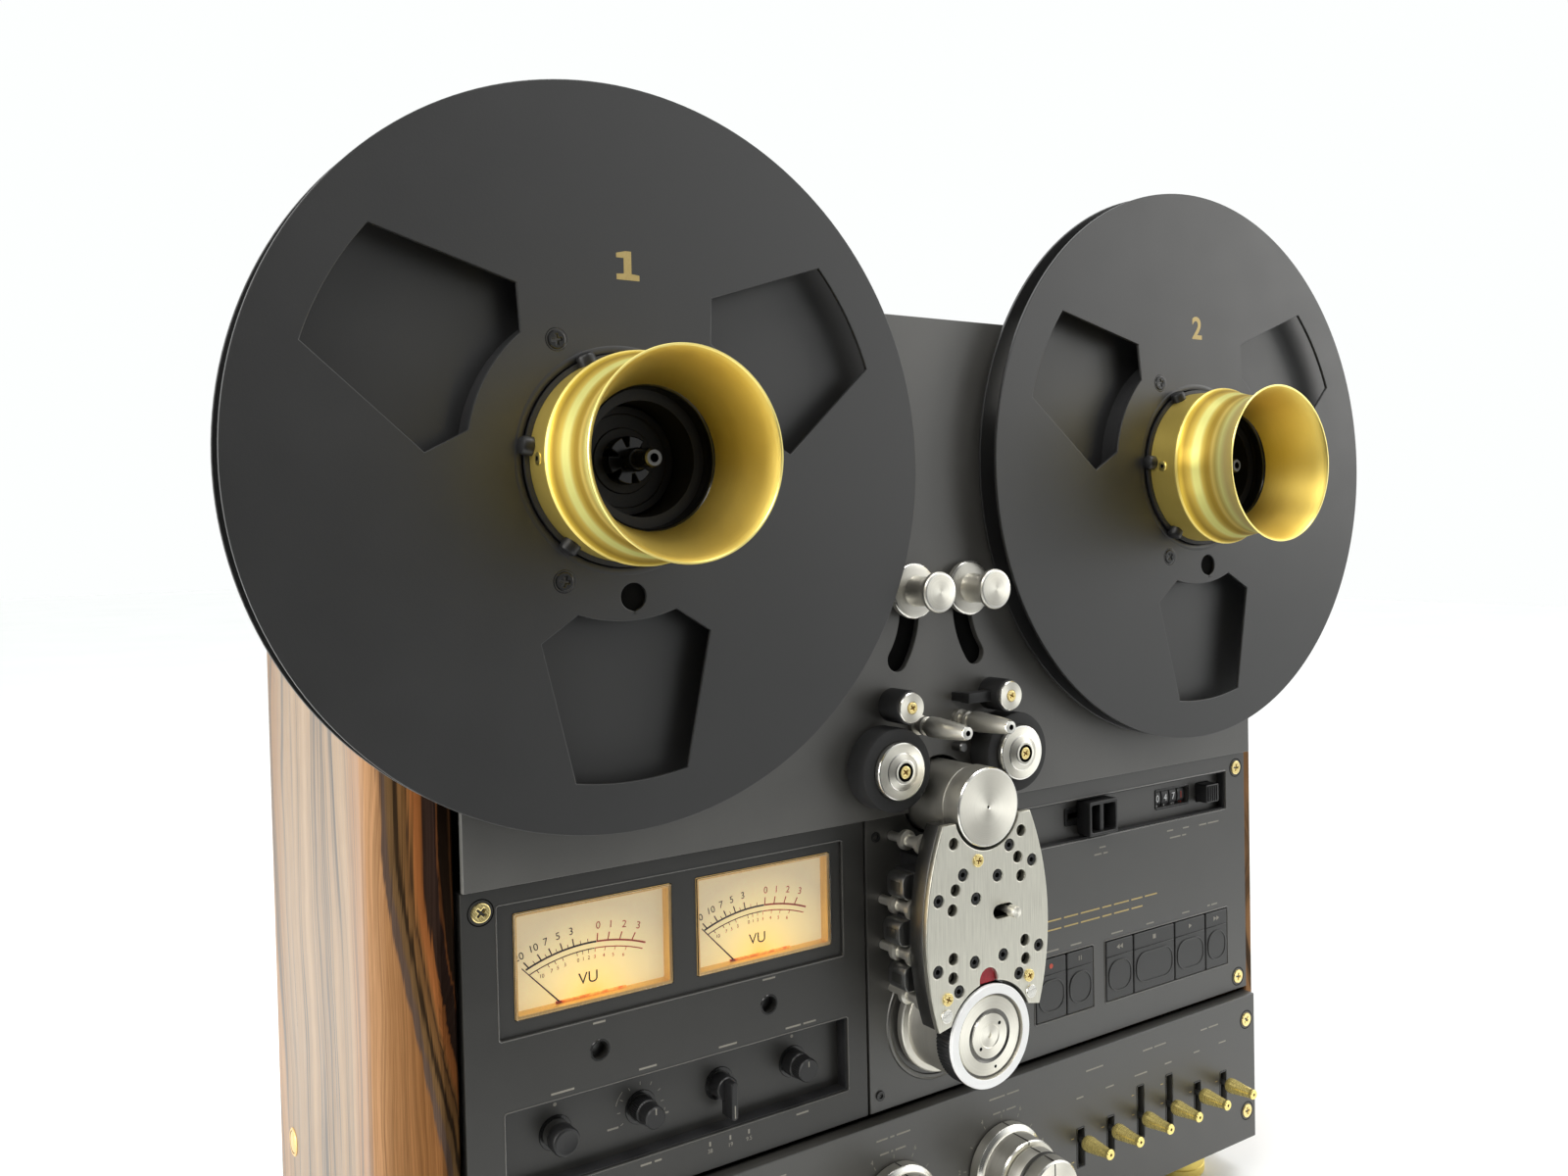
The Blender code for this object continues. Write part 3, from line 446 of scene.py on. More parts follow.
def around(xs, heights, gap, corner=0.0):
    """A rectangle a gap larger on every side; a negative gap lies inside."""
    return rect((xs[0] - gap, xs[1] + gap), (heights[0] - gap, heights[1] + gap), corner)


def capsule(start, end, radius, steps=10):
    """A bar with round ends."""
    run = atan2(end[1] - start[1], end[0] - start[0])
    quarter = pi / 2
    first = arc(end, radius, run - quarter, run + quarter, steps)
    return first + arc(start, radius, run + quarter, run + 3 * quarter, steps)


def mirrored(points, side):
    return [(side * x, height) for x, height in points]


def linked(name, data):
    """A new object in the scene."""
    made = bpy.data.objects.new(name, data)
    bpy.context.scene.collection.objects.link(made)
    return made


class Piece:
    """One visible object, put together from plates, blocks and turned parts."""

    def __init__(self, name, origin=(0, 0, 0)):
        self.name = name
        self.origin = at(*origin)
        self.bm = bmesh.new()
        self.looks = []

    def look(self, name):
        if name not in self.looks:
            self.looks.append(name)
        return self.looks.index(name)

    def take(self, mesh, name, matrix=None):
        """Add a mesh, already in metres about the piece's origin."""
        index = self.look(name)
        before = len(self.bm.faces)
        if matrix is not None:
            mesh.transform(matrix)
        self.bm.from_mesh(mesh)
        self.bm.faces.ensure_lookup_table()
        for face in self.bm.faces[before:]:
            face.material_index = index
        bpy.data.meshes.remove(mesh)

    def turn(self, centre, profile, look, sides=SIDES, aim=(0, 1, 0), knurl=None, closed=False):
        """Spin (radius, along) points about the aim; a third item is the look from there on."""
        place = at(*centre) - self.origin
        spin = Vector(aim).to_track_quat("Z", "Y").to_matrix()
        rows = []
        looks = []
        for number, (radius, along, *change) in enumerate(profile):
            look = change[0] if change else look
            looks.append(look)
            if radius < 1e-6:
                rows.append([self.bm.verts.new(place + spin @ (Vector((0, 0, along)) * MM))])
                continue
            row = []
            for side in range(sides):
                angle = tau * side / sides
                reach = radius
                if knurl and knurl[0] <= number <= knurl[1] and side % 2:
                    reach -= knurl[2]
                spot = Vector((reach * cos(angle), reach * sin(angle), along)) * MM
                row.append(self.bm.verts.new(place + spin @ spot))
            rows.append(row)
        pairs = list(zip(rows, rows[1:]))
        if closed:
            pairs.append((rows[-1], rows[0]))
        for number, (low, high) in enumerate(pairs):
            index = self.look(looks[number])
            for side in range(sides):
                after = (side + 1) % sides
                if len(low) == 1 and len(high) == 1:
                    break
                if len(low) == 1:
                    corners = (low[0], high[after], high[side])
                elif len(high) == 1:
                    corners = (low[side], low[after], high[0])
                else:
                    corners = (low[side], low[after], high[after], high[side])
                face = self.bm.faces.new(corners)
                face.material_index = index

    def plate(self, outline, holes, depths, look, edge=0.25):
        """A flat plate through a range of depths, with holes and rounded edges."""
        curve = bpy.data.curves.new("plate", "CURVE")
        curve.dimensions = "2D"
        curve.fill_mode = "BOTH"
        thick = abs(depths[1] - depths[0]) * MM
        curve.bevel_depth = edge * MM
        curve.bevel_resolution = 1
        curve.offset = -edge * MM
        curve.extrude = max(thick / 2 - edge * MM, 0.0)
        for loop in [outline] + list(holes):
            line = curve.splines.new("POLY")
            line.points.add(len(loop) - 1)
            line.use_cyclic_u = True
            for point, (x, height) in zip(line.points, loop):
                point.co = (x * MM, height * MM, 0.0, 1.0)
        self.flat(curve, sum(depths) / 2, look)

    def flat(self, curve, depth, look, matrix=None):
        """Turn a flat curve to face the front at a depth and add it."""
        holder = linked("holder", curve)
        graph = bpy.context.evaluated_depsgraph_get()
        mesh = bpy.data.meshes.new_from_object(holder.evaluated_get(graph))
        bpy.data.objects.remove(holder)
        bpy.data.curves.remove(curve)
        stand = Matrix.Rotation(pi / 2, 4, "X")
        mesh.transform(stand)
        mesh.transform(Matrix.Translation(at(0, depth, 0) - self.origin))
        self.take(mesh, look, matrix)

    def text(self, words, x, depth, height, size, look, lean=0.0, weight=0.0):
        """Printed figures, standing a hair proud of a front face."""
        curve = bpy.data.curves.new("print", "FONT")
        curve.body = words
        curve.size = size * MM
        curve.align_x = "CENTER"
        curve.align_y = "CENTER"
        curve.extrude = 0.02 * MM
        curve.offset = weight * MM
        middle = at(x, depth, height) - self.origin
        swing = Matrix.Rotation(lean, 4, "Y")
        shift = Matrix.Translation(middle) @ swing @ Matrix.Translation(-(at(0, depth, 0) - self.origin))
        self.flat(curve, depth, look, shift)

    def box(self, xs, depths, heights, look, edge=0.0):
        """A block with rounded edges."""
        low = at(min(xs), min(depths), min(heights)) - self.origin
        high = at(max(xs), max(depths), max(heights)) - self.origin
        bm = bmesh.new()
        bmesh.ops.create_cube(bm, size=1.0)
        bmesh.ops.scale(bm, vec=high - low, verts=bm.verts)
        bmesh.ops.translate(bm, vec=(low + high) / 2, verts=bm.verts)
        if edge:
            bmesh.ops.bevel(bm, geom=bm.edges, offset=edge * MM, segments=2, affect="EDGES", profile=0.6)
        mesh = bpy.data.meshes.new("block")
        bm.to_mesh(mesh)
        bm.free()
        self.take(mesh, look)

    def stroke(self, start, end, width, depth, look):
        """A thin printed line."""
        first = Vector(start)
        last = Vector(end)
        across = (last - first).normalized().orthogonal() * width / 2
        outline = [first + across, first - across, last - across, last + across]
        points = [at(x, depth, height) - self.origin for x, height in outline]
        face = self.bm.faces.new([self.bm.verts.new(point) for point in points])
        face.normal_update()
        if face.normal.y > 0:
            face.normal_flip()
        face.material_index = self.look(look)

    def screw(self, x, depth, height, radius, look, cross=True, rise=1.0):
        """A screw head with a cross or a single slot, over a hollow painted with shade."""
        turn = 0.4 + 0.7 * sin(x + height)
        wide = radius * 0.10
        long = radius * 0.5
        if cross:
            loop = [
                (wide, wide), (wide, long), (-wide, long), (-wide, wide), (-long, wide), (-long, -wide),
                (-wide, -wide), (-wide, -long), (wide, -long), (wide, -wide), (long, -wide), (long, wide),
            ]
        else:
            long = radius * 0.82
            loop = [(-long, -wide), (long, -wide), (long, wide), (-long, wide)]
        slot = []
        for across, up in loop:
            slot_x = x + across * cos(turn) - up * sin(turn)
            slot.append((slot_x, height + across * sin(turn) + up * cos(turn)))
        self.plate(ring(x, height, radius, 28), [slot], (depth - rise, depth - 0.1), look, radius * 0.12)
        # The hollow under the slot is painted shade.
        hollow = "brass_painted_shade" if look == "brass_screw" else "painted_shade_black"
        self.turn((x, depth, height), [(0, -0.35 * rise), (radius * 0.7, -0.35 * rise)], hollow, 16)

    def captions(self, table, depth):
        """Thin bars where a panel carries printed words."""
        gap = 1.3
        for x, height, widths in table:
            left = x - (sum(widths) + gap * (len(widths) - 1)) / 2
            for width in widths:
                self.stroke((left, height), (left + width, height), 0.75, depth, "print_grey")
                left += width + gap

    def socket(self, x, depth, height, radius):
        """A socket-head screw: a dark ring round a hexagonal hollow painted with shade."""
        hexagon = ring(x, height, radius * 0.5, 6)
        self.plate(ring(x, height, radius, 24), [hexagon], (depth - 0.8, depth), "black_shiny", radius * 0.1)
        self.turn((x, depth, height), [(0, -0.1), (radius * 0.7, -0.1)], "painted_shade_black", 12)

    def done(self, body, slot, *nodes):
        mesh = bpy.data.meshes.new(self.name)
        self.bm.to_mesh(mesh)
        self.bm.free()
        mesh.shade_smooth()
        mesh.set_sharp_from_angle(angle=radians(32))
        for name in self.looks:
            mesh.materials.append(ALL[name])
        made = linked(self.name, mesh)
        made.location = self.origin
        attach(made, body)
        if nodes:
            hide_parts(*nodes)


def finish_node(name, look):
    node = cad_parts[name]
    node.data.materials.clear()
    node.data.materials.append(ALL[look])


# Cabinet


def make_cabinet():
    for name in ("side_panel_left", "side_panel_right"):
        finish_node(name, "rosewood_gloss")
    finish_node("cabinet_shell", "shell_paint")
    for hand, side in SIDE_HANDS:
        centre = (side * 228.0, 190.0, -303.4)
        trim = Piece("side_plug_" + hand, centre)
        # The groove in the trim is painted shade in dark brass.
        edge = [
            (0, 0.5), (4.4, 0.5), (4.8, 0.3, "brass_painted_shade"), (5.2, 0.5, "copper_trim"), (6.0, 0.5),
            (6.4, 0.2), (6.4, -0.4),
        ]
        trim.turn(centre, edge, "copper_trim", 40, aim=(side, 0, 0))
        trim.done("cabinet", "gold")
    make_back()
    make_feet()


def make_back():
    """Ventilation, jacks and a mains inlet on the rear sheet."""
    back = Piece("rear_fittings")
    rear = 215.0
    # The ventilation slots are black shapes: painted shade, not openings.
    for row in range(4):
        for column in range(14):
            x = -130 + column * 20
            height = 28 - row * 11
            slot = capsule((x - 6.5, height), (x + 6.5, height), 1.7, 6)
            back.plate(slot, [], (rear - 0.4, rear + 0.02), "painted_shade_black", 0.05)
    for column in range(4):
        x = -172 + column * 30
        for height, colour in ((-278, "red_lens"), (-302, "white_ring")):
            back.turn((x, 207, height), [(6.4, -0.1), (6.4, 1.4), (5.4, 1.8), (4.6, 1.8)], colour, 32)
            barrel = [(4.6, 1.8), (4.2, 2.0), (4.2, 7.4), (3.9, 7.7), (1.8, 7.7), (1.8, 3.0), (0, 3.0)]
            back.turn((x, 207, height), barrel, "gold_bright", 32)
    inlet = rect((138, 168), (-306, -285), 4.0)
    back.plate(rect((130, 176), (-311, -280), 2.0), [inlet], (207, 211), "black_plastic", 0.4)
    # Painted shade inside the inlet.
    back.plate(inlet, [], (207, 207.6), "painted_shade_black", 0.1)
    for x in (146, 153, 160):
        lift = -298 if x != 153 else -293
        back.box((x - 1, x + 1), (207.5, 210.6), (lift - 3, lift + 3), "silver_bright", 0.2)
    for x in (-200, 0, 200):
        for height in (-340, -240, -90, 54):
            back.turn((x, rear, height), [(3.6, -0.8), (3.6, -0.35), (2.6, 0), (0, 0)], "dark_spun", 24)
    back.done("cabinet", "black")


def make_feet():
    for row, depth in (("front", 31.0), ("rear", 190.0)):
        for hand, side in SIDE_HANDS:
            centre = (side * 190.5, depth, -SPINDLE_HEIGHT)
            foot = Piece("foot_%s_%s_turned" % (row, hand), centre)
            profile = [
                (0, 0.0), (12.8, 0.0), (14.1, 0.5, "gold_spun"), (15.0, 1.6), (15.4, 3.2), (15.4, 6.0),
                (14.9, 6.4), (14.9, 7.2), (15.4, 7.6), (15.4, 18.2), (15.0, 19.2), (13.6, 20.2),
                (13.6, 25.0), (0, 25.0),
            ]
            foot.turn(centre, profile, "tyre_rubber", 64, aim=(0, 0, 1))
            foot.done("cabinet", "gold", "foot_%s_%s" % (row, hand))


# Front panels


def tension_slot(side):
    """The curved slot that a tension arm's roller swings in."""
    pivot = TENSION_PIVOT
    reach = (TENSION[0] - pivot[0], TENSION[1] - pivot[1])
    radius = hypot(*reach)
    start = atan2(reach[1], reach[0]) - radians(4.0)
    end = start + radians(50.0)
    half = 5.2
    outline = arc(pivot, radius + half, start, end, 16)
    lower = arc(pivot, radius, end, end, 1)[0]
    outline += arc(lower, half, end, end + pi, 10)[1:-1]
    outline += arc(pivot, radius - half, end, start, 16)
    upper = arc(pivot, radius, start, start, 1)[0]
    outline += arc(upper, half, start + pi, start + tau, 10)[1:-1]
    return mirrored(outline, side)


def make_deck_panel():
    panel = Piece("deck_panel_plate")
    outline = arc((0, CAPSTAN_Z), 17.7, radians(198.5), radians(-18.5), 24)
    outline = [(-PANEL_X, -149.6)] + outline + [(PANEL_X, -149.6), (PANEL_X, 64.4), (-PANEL_X, 64.4)]
    holes = [ring(-SPINDLE_X, 0, 11.0), ring(SPINDLE_X, 0, 11.0), tension_slot(-1), tension_slot(1)]
    for side in (-1, 1):
        direction = Vector((-33.6, -17.0)).normalized() * 4.0
        end = (PINCH[0] + direction.x, PINCH[1] + direction.y)
        holes.append(mirrored(capsule(PINCH, end, 5.0), side))
    panel.plate(outline, holes, (-3.3, -0.3), "deck_paint", 0.35)
    for side in (-1, 1):
        make_guide_pin(panel, side)
        x = side * IDLER[0]
        z = IDLER[1]
        panel.turn((x, 0, z), [(2.2, -0.5), (2.2, -17.0), (0, -17.0)], "silver_drum", 24)
        panel.turn((x, 0, z), [(4.6, -3.0), (4.6, -5.4), (3.6, -5.7), (2.2, -5.7)], "black_plastic", 32)
    panel.box((8.0, 26.0), (-15.0, -9.0), (-103.5, -98.9), "black_plastic", 0.6)
    panel.box((8.0, 12.0), (-12.0, -3.0), (-103.2, -99.2), "black_plastic", 0.5)
    panel.turn((9.5, 0, -123.3), [(2.2, -3.0), (2.2, -9.0), (1.8, -9.5), (0, -9.5)], "steel_zinc", 24)
    # Black plates in the tension slots: painted shade.
    for side in (-1, 1):
        panel.plate(tension_slot(side), [], (-0.2, 0.0), "painted_shade_black", 0.05)
    panel.done("cabinet", "panel", "deck_panel")
    # A black sheet behind the deck panel: painted shade seen through its holes.
    behind = Piece("deck_light_stop")
    behind.box((-PANEL_X + 1, PANEL_X - 1), (30.0, 31.0), (-150, 62), "painted_shade_black")
    behind.done("cabinet", "black")


def make_guide_pin(panel, side):
    """A tapered guide with collars and a drilled tip."""
    # The drilled tip is painted shade.
    profile = [
        (4.4, -3.0), (4.4, -5.4), (3.0, -5.8), (3.0, -8.4), (4.0, -8.8), (4.0, -10.4), (3.0, -10.8),
        (3.0, -13.0), (4.4, -13.6), (4.5, -18.0), (4.3, -21.0), (3.1, -36.4, "silver_bright"),
        (2.6, -37.2), (1.2, -37.4, "painted_shade_black"), (1.2, -35.6), (0, -35.6),
    ]
    panel.turn((side * GUIDE_PIN[0], 0, GUIDE_PIN[1]), profile, "silver_drum", 48)


def panel_screw(piece, x, height, front=0.0):
    """A gold screw in a dish whose black edge is painted shade."""
    piece.turn((x, front, height), [(4.9, -0.02), (4.5, -0.10), (4.2, 0.5), (3.6, 0.5)], "painted_shade_black", 40)
    piece.screw(x, front + 0.4, height, 3.6, "brass_screw", True, 1.0)


def line_tray(panel, xs, heights, depths):
    """Black liners on the walls of a sunken tray: painted shade inside the recess."""
    inside = around(xs, heights, -0.5, 0.5)
    panel.plate(around(xs, heights, -0.02, 0.8), [inside], depths, "hub_black", 0.05)


def border(panel, opening, reach, corner, depth, edge):
    """A thin lighter rim round an opening: a painted highlight on its edge."""
    inside = around(*opening, 0.2, corner)
    panel.plate(around(*opening, reach, 1.2), [inside], (depth, 0.3), "painted_edge_highlight", edge)


METER_FRAME = ((-200.0, -51.0), (-205.0, -157.0))
METER_TRAY = ((-198.7, -49.7), (-262.5, -231.7))
COUNTER_TRAY = ((46.0, 197.3), (-178.4, -158.8))
SMALL_KEYS = ((58.6, 97.0), (-260.9, -231.0))
BIG_KEYS = ((105.6, 197.3), (-260.9, -231.0))
METER_CAPTIONS = (
    (-162.0, -207.0, (5.0,)), (-87.7, -206.9, (6.0,)), (-177.0, -229.0, (9.0,)),
    (-142.5, -228.9, (7.4,)), (-107.4, -229.1, (8.2,)), (-72.8, -229.1, (7.4, 6.2)),
    (-142.1, -265.7, (4.6, 3.0)), (-72.9, -265.8, (6.0,)),
)
CONTROL_CAPTIONS = (
    (104.8, -184.2, (4.4,)), (103.7, -187.3, (5.0, 3.0)), (153.9, -183.6, (4.6,)),
    (165.9, -183.8, (4.6,)), (159.8, -187.4, (8.0, 3.0)), (184.0, -184.2, (5.6, 8.6)),
    (70.1, -228.1, (8.2,)), (85.8, -228.0, (7.2,)), (114.2, -227.9, (8.2,)), (138.0, -228.0, (5.6,)),
    (165.0, -227.6, (5.6,)), (185.9, -227.4, (2.0, 4.6)),
)
AMPLIFIER_CAPTIONS = (
    (33.6, -285.6, (9.4, 7.4)), (33.6, -292.6, (4.6, 1.0, 5.6)), (-30.0, -286.0, (6.0, 2.2, 7.4)),
    (-30.4, -292.2, (4.6, 1.0, 5.6)), (-91.7, -286.0, (5.6, 7.4)), (-91.7, -292.2, (4.6, 1.0, 5.6)),
    (-146.5, -292.2, (5.6, 8.4)), (-187.0, -292.2, (10.6,)), (92.0, -288.3, (11.6,)),
    (134.4, -288.4, (7.0, 8.6)), (176.3, -288.6, (5.0, 7.4)), (81.8, -299.8, (4.6,)),
    (102.2, -299.8, (5.6,)), (124.2, -299.4, (9.0,)), (144.4, -299.0, (5.0,)), (166.1, -298.8, (4.6,)),
    (186.3, -298.7, (5.6,)),
)


def make_meter_panel():
    left = -PANEL_X
    right = -39.4
    panel = Piece("meter_panel_plate")
    outline = rect((left, right), PANEL_Z, 0.6)
    frame_hole = rect(*METER_FRAME, 0.8)
    tray = rect(*METER_TRAY, 0.8)
    trims = []
    openings = []
    for xs in METER_X:
        trims.append(ring(sum(xs) / 2, -217.4, 3.2, 32))
        openings.append(rect(xs, METER_Z, 0.5))
    panel.plate(outline, [frame_hole, tray] + trims, (0, 1.3), "meter_paint", 0.3)
    inner = rect((left + 0.4, right - 0.4), BACKING_Z)
    panel.plate(inner, openings + [tray] + trims, (1.2, 8.0), "meter_paint", 0.2)
    panel.box((-200, -48.5), (7.0, 8.0), (-263.5, -230.7), "meter_paint")
    line_tray(panel, *METER_TRAY, (0.7, 7.0))
    for xs in METER_X:
        x = sum(xs) / 2
        panel.turn((x, 0, -217.4), [(4.1, 0.0), (3.9, -0.25), (3.3, -0.25), (3.2, 0.6)], "black_shiny", 40)
        panel.turn((x, 5.0, -217.4), [(0, -0.6), (1.9, -0.6), (2.2, 0), (3.2, 0)], "steel_zinc", 24)
    for opening in (METER_FRAME, METER_TRAY):
        border(panel, opening, 0.7, 0.8, -0.28, 0.25)
    for x in TRAY_KNOB_X:
        collar = [(6.6, 0), (6.4, -0.4), (5.2, -0.4), (5.0, 0.2)]
        panel.turn((x, 7.0, TRAY_KNOB_Z), collar, "black_shiny", 48)
    for x, figure in zip((-116.4, -107.2, -98.6), ("38", "19", "9.5")):
        panel.stroke((x, -265.2), (x, -267.0), 0.8, INK, "print_grey")
        panel.text(figure, x, INK, -269.0, 2.3, "print_grey")
    panel.captions(METER_CAPTIONS, INK)
    panel.captions(((-154.3, -251.8, (4.6,)), (-132.6, -251.8, (4.0,))), TRAY_INK)
    pitch = (TRAY_KNOB_X[1], TRAY_KNOB_Z)
    for x, z in arc(pitch, 8.6, radians(-30), radians(210), 24)[::3]:
        outward = Vector((x - pitch[0], z - pitch[1])).normalized()
        panel.stroke((x, z), (x + outward.x * 1.3, z + outward.y * 1.3), 0.28, TRAY_INK, "print_grey")
    for start, end in ((-46, -16), (164, 134)):
        points = arc(pitch, 10.8, radians(start), radians(end), 8)
        for first, last in zip(points, points[1:]):
            panel.stroke(first, last, 0.25, TRAY_INK, "print_grey")
    for x in (-177.3, -72.9):
        panel.turn((x, 6.97, TRAY_KNOB_Z + 10.5), [(0, -0.02), (0.7, -0.02), (0.7, 0)], "print_grey", 16)
    for height in SCREW_Z:
        panel_screw(panel, -SCREW_X, height)
    panel.done("cabinet", "panel", "meter_panel")


def make_head_base():
    panel = Piece("head_base_plate")
    low, high = PANEL_Z
    outline = [(-38.2, low), (38.2, low), (38.2, high)]
    outline += arc((0, CAPSTAN_Z), 17.7, radians(-21), radians(-159), 24)
    outline.append((-38.2, high))
    panel.plate(outline, [ring(0, REVERSER_Z, 7.0)], (0, 4), "panel_paint", 0.3)
    rim = [(29.0, 0.1), (28.6, -0.6), (27.6, -0.9), (26.6, -0.6), (26.2, 0.1)]
    panel.turn((0, 0, REVERSER_Z), rim, "dark_spun", SIDES)
    for side in (-1, 1):
        for height in (-158.0, -269.5):
            panel.socket(side * 33.0, 0.1, height, 2.2)
    panel.done("cabinet", "panel", "head_base_panel")


def make_control_panel():
    panel = Piece("control_panel_plate")
    outline = rect((39.4, PANEL_X), PANEL_Z, 0.6)
    tray = rect(*COUNTER_TRAY, 0.8)
    small = rect(*SMALL_KEYS, 0.6)
    big = rect(*BIG_KEYS, 0.6)
    panel.plate(outline, [tray, small, big], (0, 5.2), "panel_paint", 0.3)
    inner = rect((39.5, PANEL_X - 0.4), BACKING_Z)
    cue = rect((86.0, 108.0), (-169.6, -166.0), 0.6)
    window = rect((149.2, 173.2), (-172.4, -164.0), 0.6)
    reset = rect((179.7, 190.3), (-173.5, -163.5), 0.6)
    panel.plate(inner, [cue, window, reset, small, big], (5.0, 8.6), "panel_paint", 0.25)
    panel.plate(rect((84.0, 110.0), (-172.2, -163.4), 1.0), [cue], (4.4, 5.1), "black_shiny", 0.25)
    panel.plate(rect((148.3, 174.1), (-173.4, -163.0), 0.9), [window], (4.6, 5.1), "black_shiny", 0.2)
    for opening in (COUNTER_TRAY, SMALL_KEYS, BIG_KEYS):
        border(panel, opening, 0.8, 0.7, -0.3, 0.27)
    line_tray(panel, *COUNTER_TRAY, (0.7, 5.0))
    make_counter(panel)
    panel.captions(CONTROL_CAPTIONS, INK)
    for right, height in ((151.0, -213.8), (138.0, -218.2)):
        left = 42.0
        for width in (11.0, 7.0, 12.6, 9.4, 13.0, 6.4, 10.6, 8.0, 9.0):
            if left + width < right:
                panel.stroke((left, height), (left + width, height), 0.7, INK, "print_gold")
            left += width + 1.8
    for height in SCREW_Z:
        panel_screw(panel, SCREW_X, height)
    # A black sheet behind the key openings: painted shade.
    panel.box((56.0, 200.0), (11.5, 12.0), (-262.5, -229.0), "painted_shade_black")
    panel.done("cabinet", "panel", "control_panel")


def make_counter(panel):
    """Four number wheels behind the counter's window."""
    # Painted shade behind the number wheels.
    panel.box((147.5, 174.0), (11.6, 12.0), (-176.0, -163.0), "painted_shade_black")
    for digit, (shown, below) in enumerate(zip("0471", "1582")):
        x = 151.8 + digit * 5.95
        colour = "ink_red" if digit == 3 else "white_ring"
        wheel = [(0, -2.6), (8.4, -2.6), (8.6, -2.4), (8.6, 2.4), (8.4, 2.6), (0, 2.6)]
        panel.turn((x, 14.8, -168.4), wheel, "black_plastic", 40, aim=(1, 0, 0))
        panel.text(shown, x, 6.14, -168.3, 5.0, colour)
        panel.text(below, x, 6.9, -173.2, 5.0, colour)


def make_amplifier_panel():
    panel = Piece("amplifier_panel_plate")
    outline = rect((-PANEL_X, PANEL_X), (-355.8, -278.8), 0.5)
    holes = [ring(x, LEVEL_Z, 5.0) for x in KNOB_X]
    holes += [ring(x, LEVEL_Z, 3.3, 32) for x in JACK_X]
    for x, heights in zip(LEVER_X, LEVER_SLOTS):
        holes.append(rect((x - 2.1, x + 2.1), heights, 0.4))
    panel.plate(outline, holes, (-5, 3), "panel_paint", 0.55)
    for x in JACK_X:
        nut = [
            (7.6, -5.0), (7.6, -6.4), (7.0, -6.8), (5.4, -6.8), (5.0, -8.4), (3.6, -8.6), (3.3, -7.6),
            (3.3, 0),
        ]
        panel.turn((x, 0, LEVEL_Z), nut, "silver_drum", 48)
        # Painted shade in the jack's hole.
        panel.turn((x, 2.0, LEVEL_Z), [(0, 0), (3.4, 0)], "painted_shade_black", 24)
    for x in KNOB_X:
        for number in range(11):
            angle = radians(225 - 27 * number)
            c = cos(angle)
            s = sin(angle)
            start = (x + 21.6 * c, LEVEL_Z + 21.6 * s)
            panel.stroke(start, (x + 23.2 * c, LEVEL_Z + 23.2 * s), 0.35, LOW_INK, "print_grey")
            if number % 2 == 0:
                panel.text(str(number), x + 25.6 * c, -5.02, LEVEL_Z + 25.6 * s, 2.9, "print_grey")
    for x, heights in zip(LEVER_X, LEVER_SLOTS):
        rim = rect((x - 2.9, x + 2.9), (heights[0] - 0.8, heights[1] + 0.8), 0.9)
        panel.plate(rim, [rect((x - 2.1, x + 2.1), heights, 0.4)], (-5.2, -4.8), "black_shiny", 0.15)
        marks = (-308.6, -318.3, -328.0) if heights == LONG_SLOT else (-318.3, -329.6)
        for mark in marks:
            panel.stroke((x - 6.4, mark), (x - 4.6, mark), 0.4, LOW_INK, "print_gold")
        # A black block behind the slot: painted shade.
        panel.box((x - 4, x + 4), (25, 26), (heights[0] - 3, heights[1] + 3), "painted_shade_black")
    panel.captions(AMPLIFIER_CAPTIONS, LOW_INK)
    for x in (-SCREW_X, SCREW_X):
        for height in (-291.5, -340.4):
            panel_screw(panel, x, height, -5.0)
    panel.done("cabinet", "panel", "amplifier_panel")


# Reels and spindles


def reel_window(middle):
    """One of the three openings in a front flange, about an angle."""
    points = arc((0, 0), 115.3, middle - radians(11.1), middle + radians(11.1), 14)
    points += arc((0, 0), 71.5, middle + radians(27.8), middle + radians(27.8), 1)[:1]
    points += arc((0, 0), 57.5, middle + radians(19.7), middle - radians(19.7), 18)
    points += arc((0, 0), 71.5, middle - radians(27.8), middle - radians(27.8), 1)[:1]
    return points


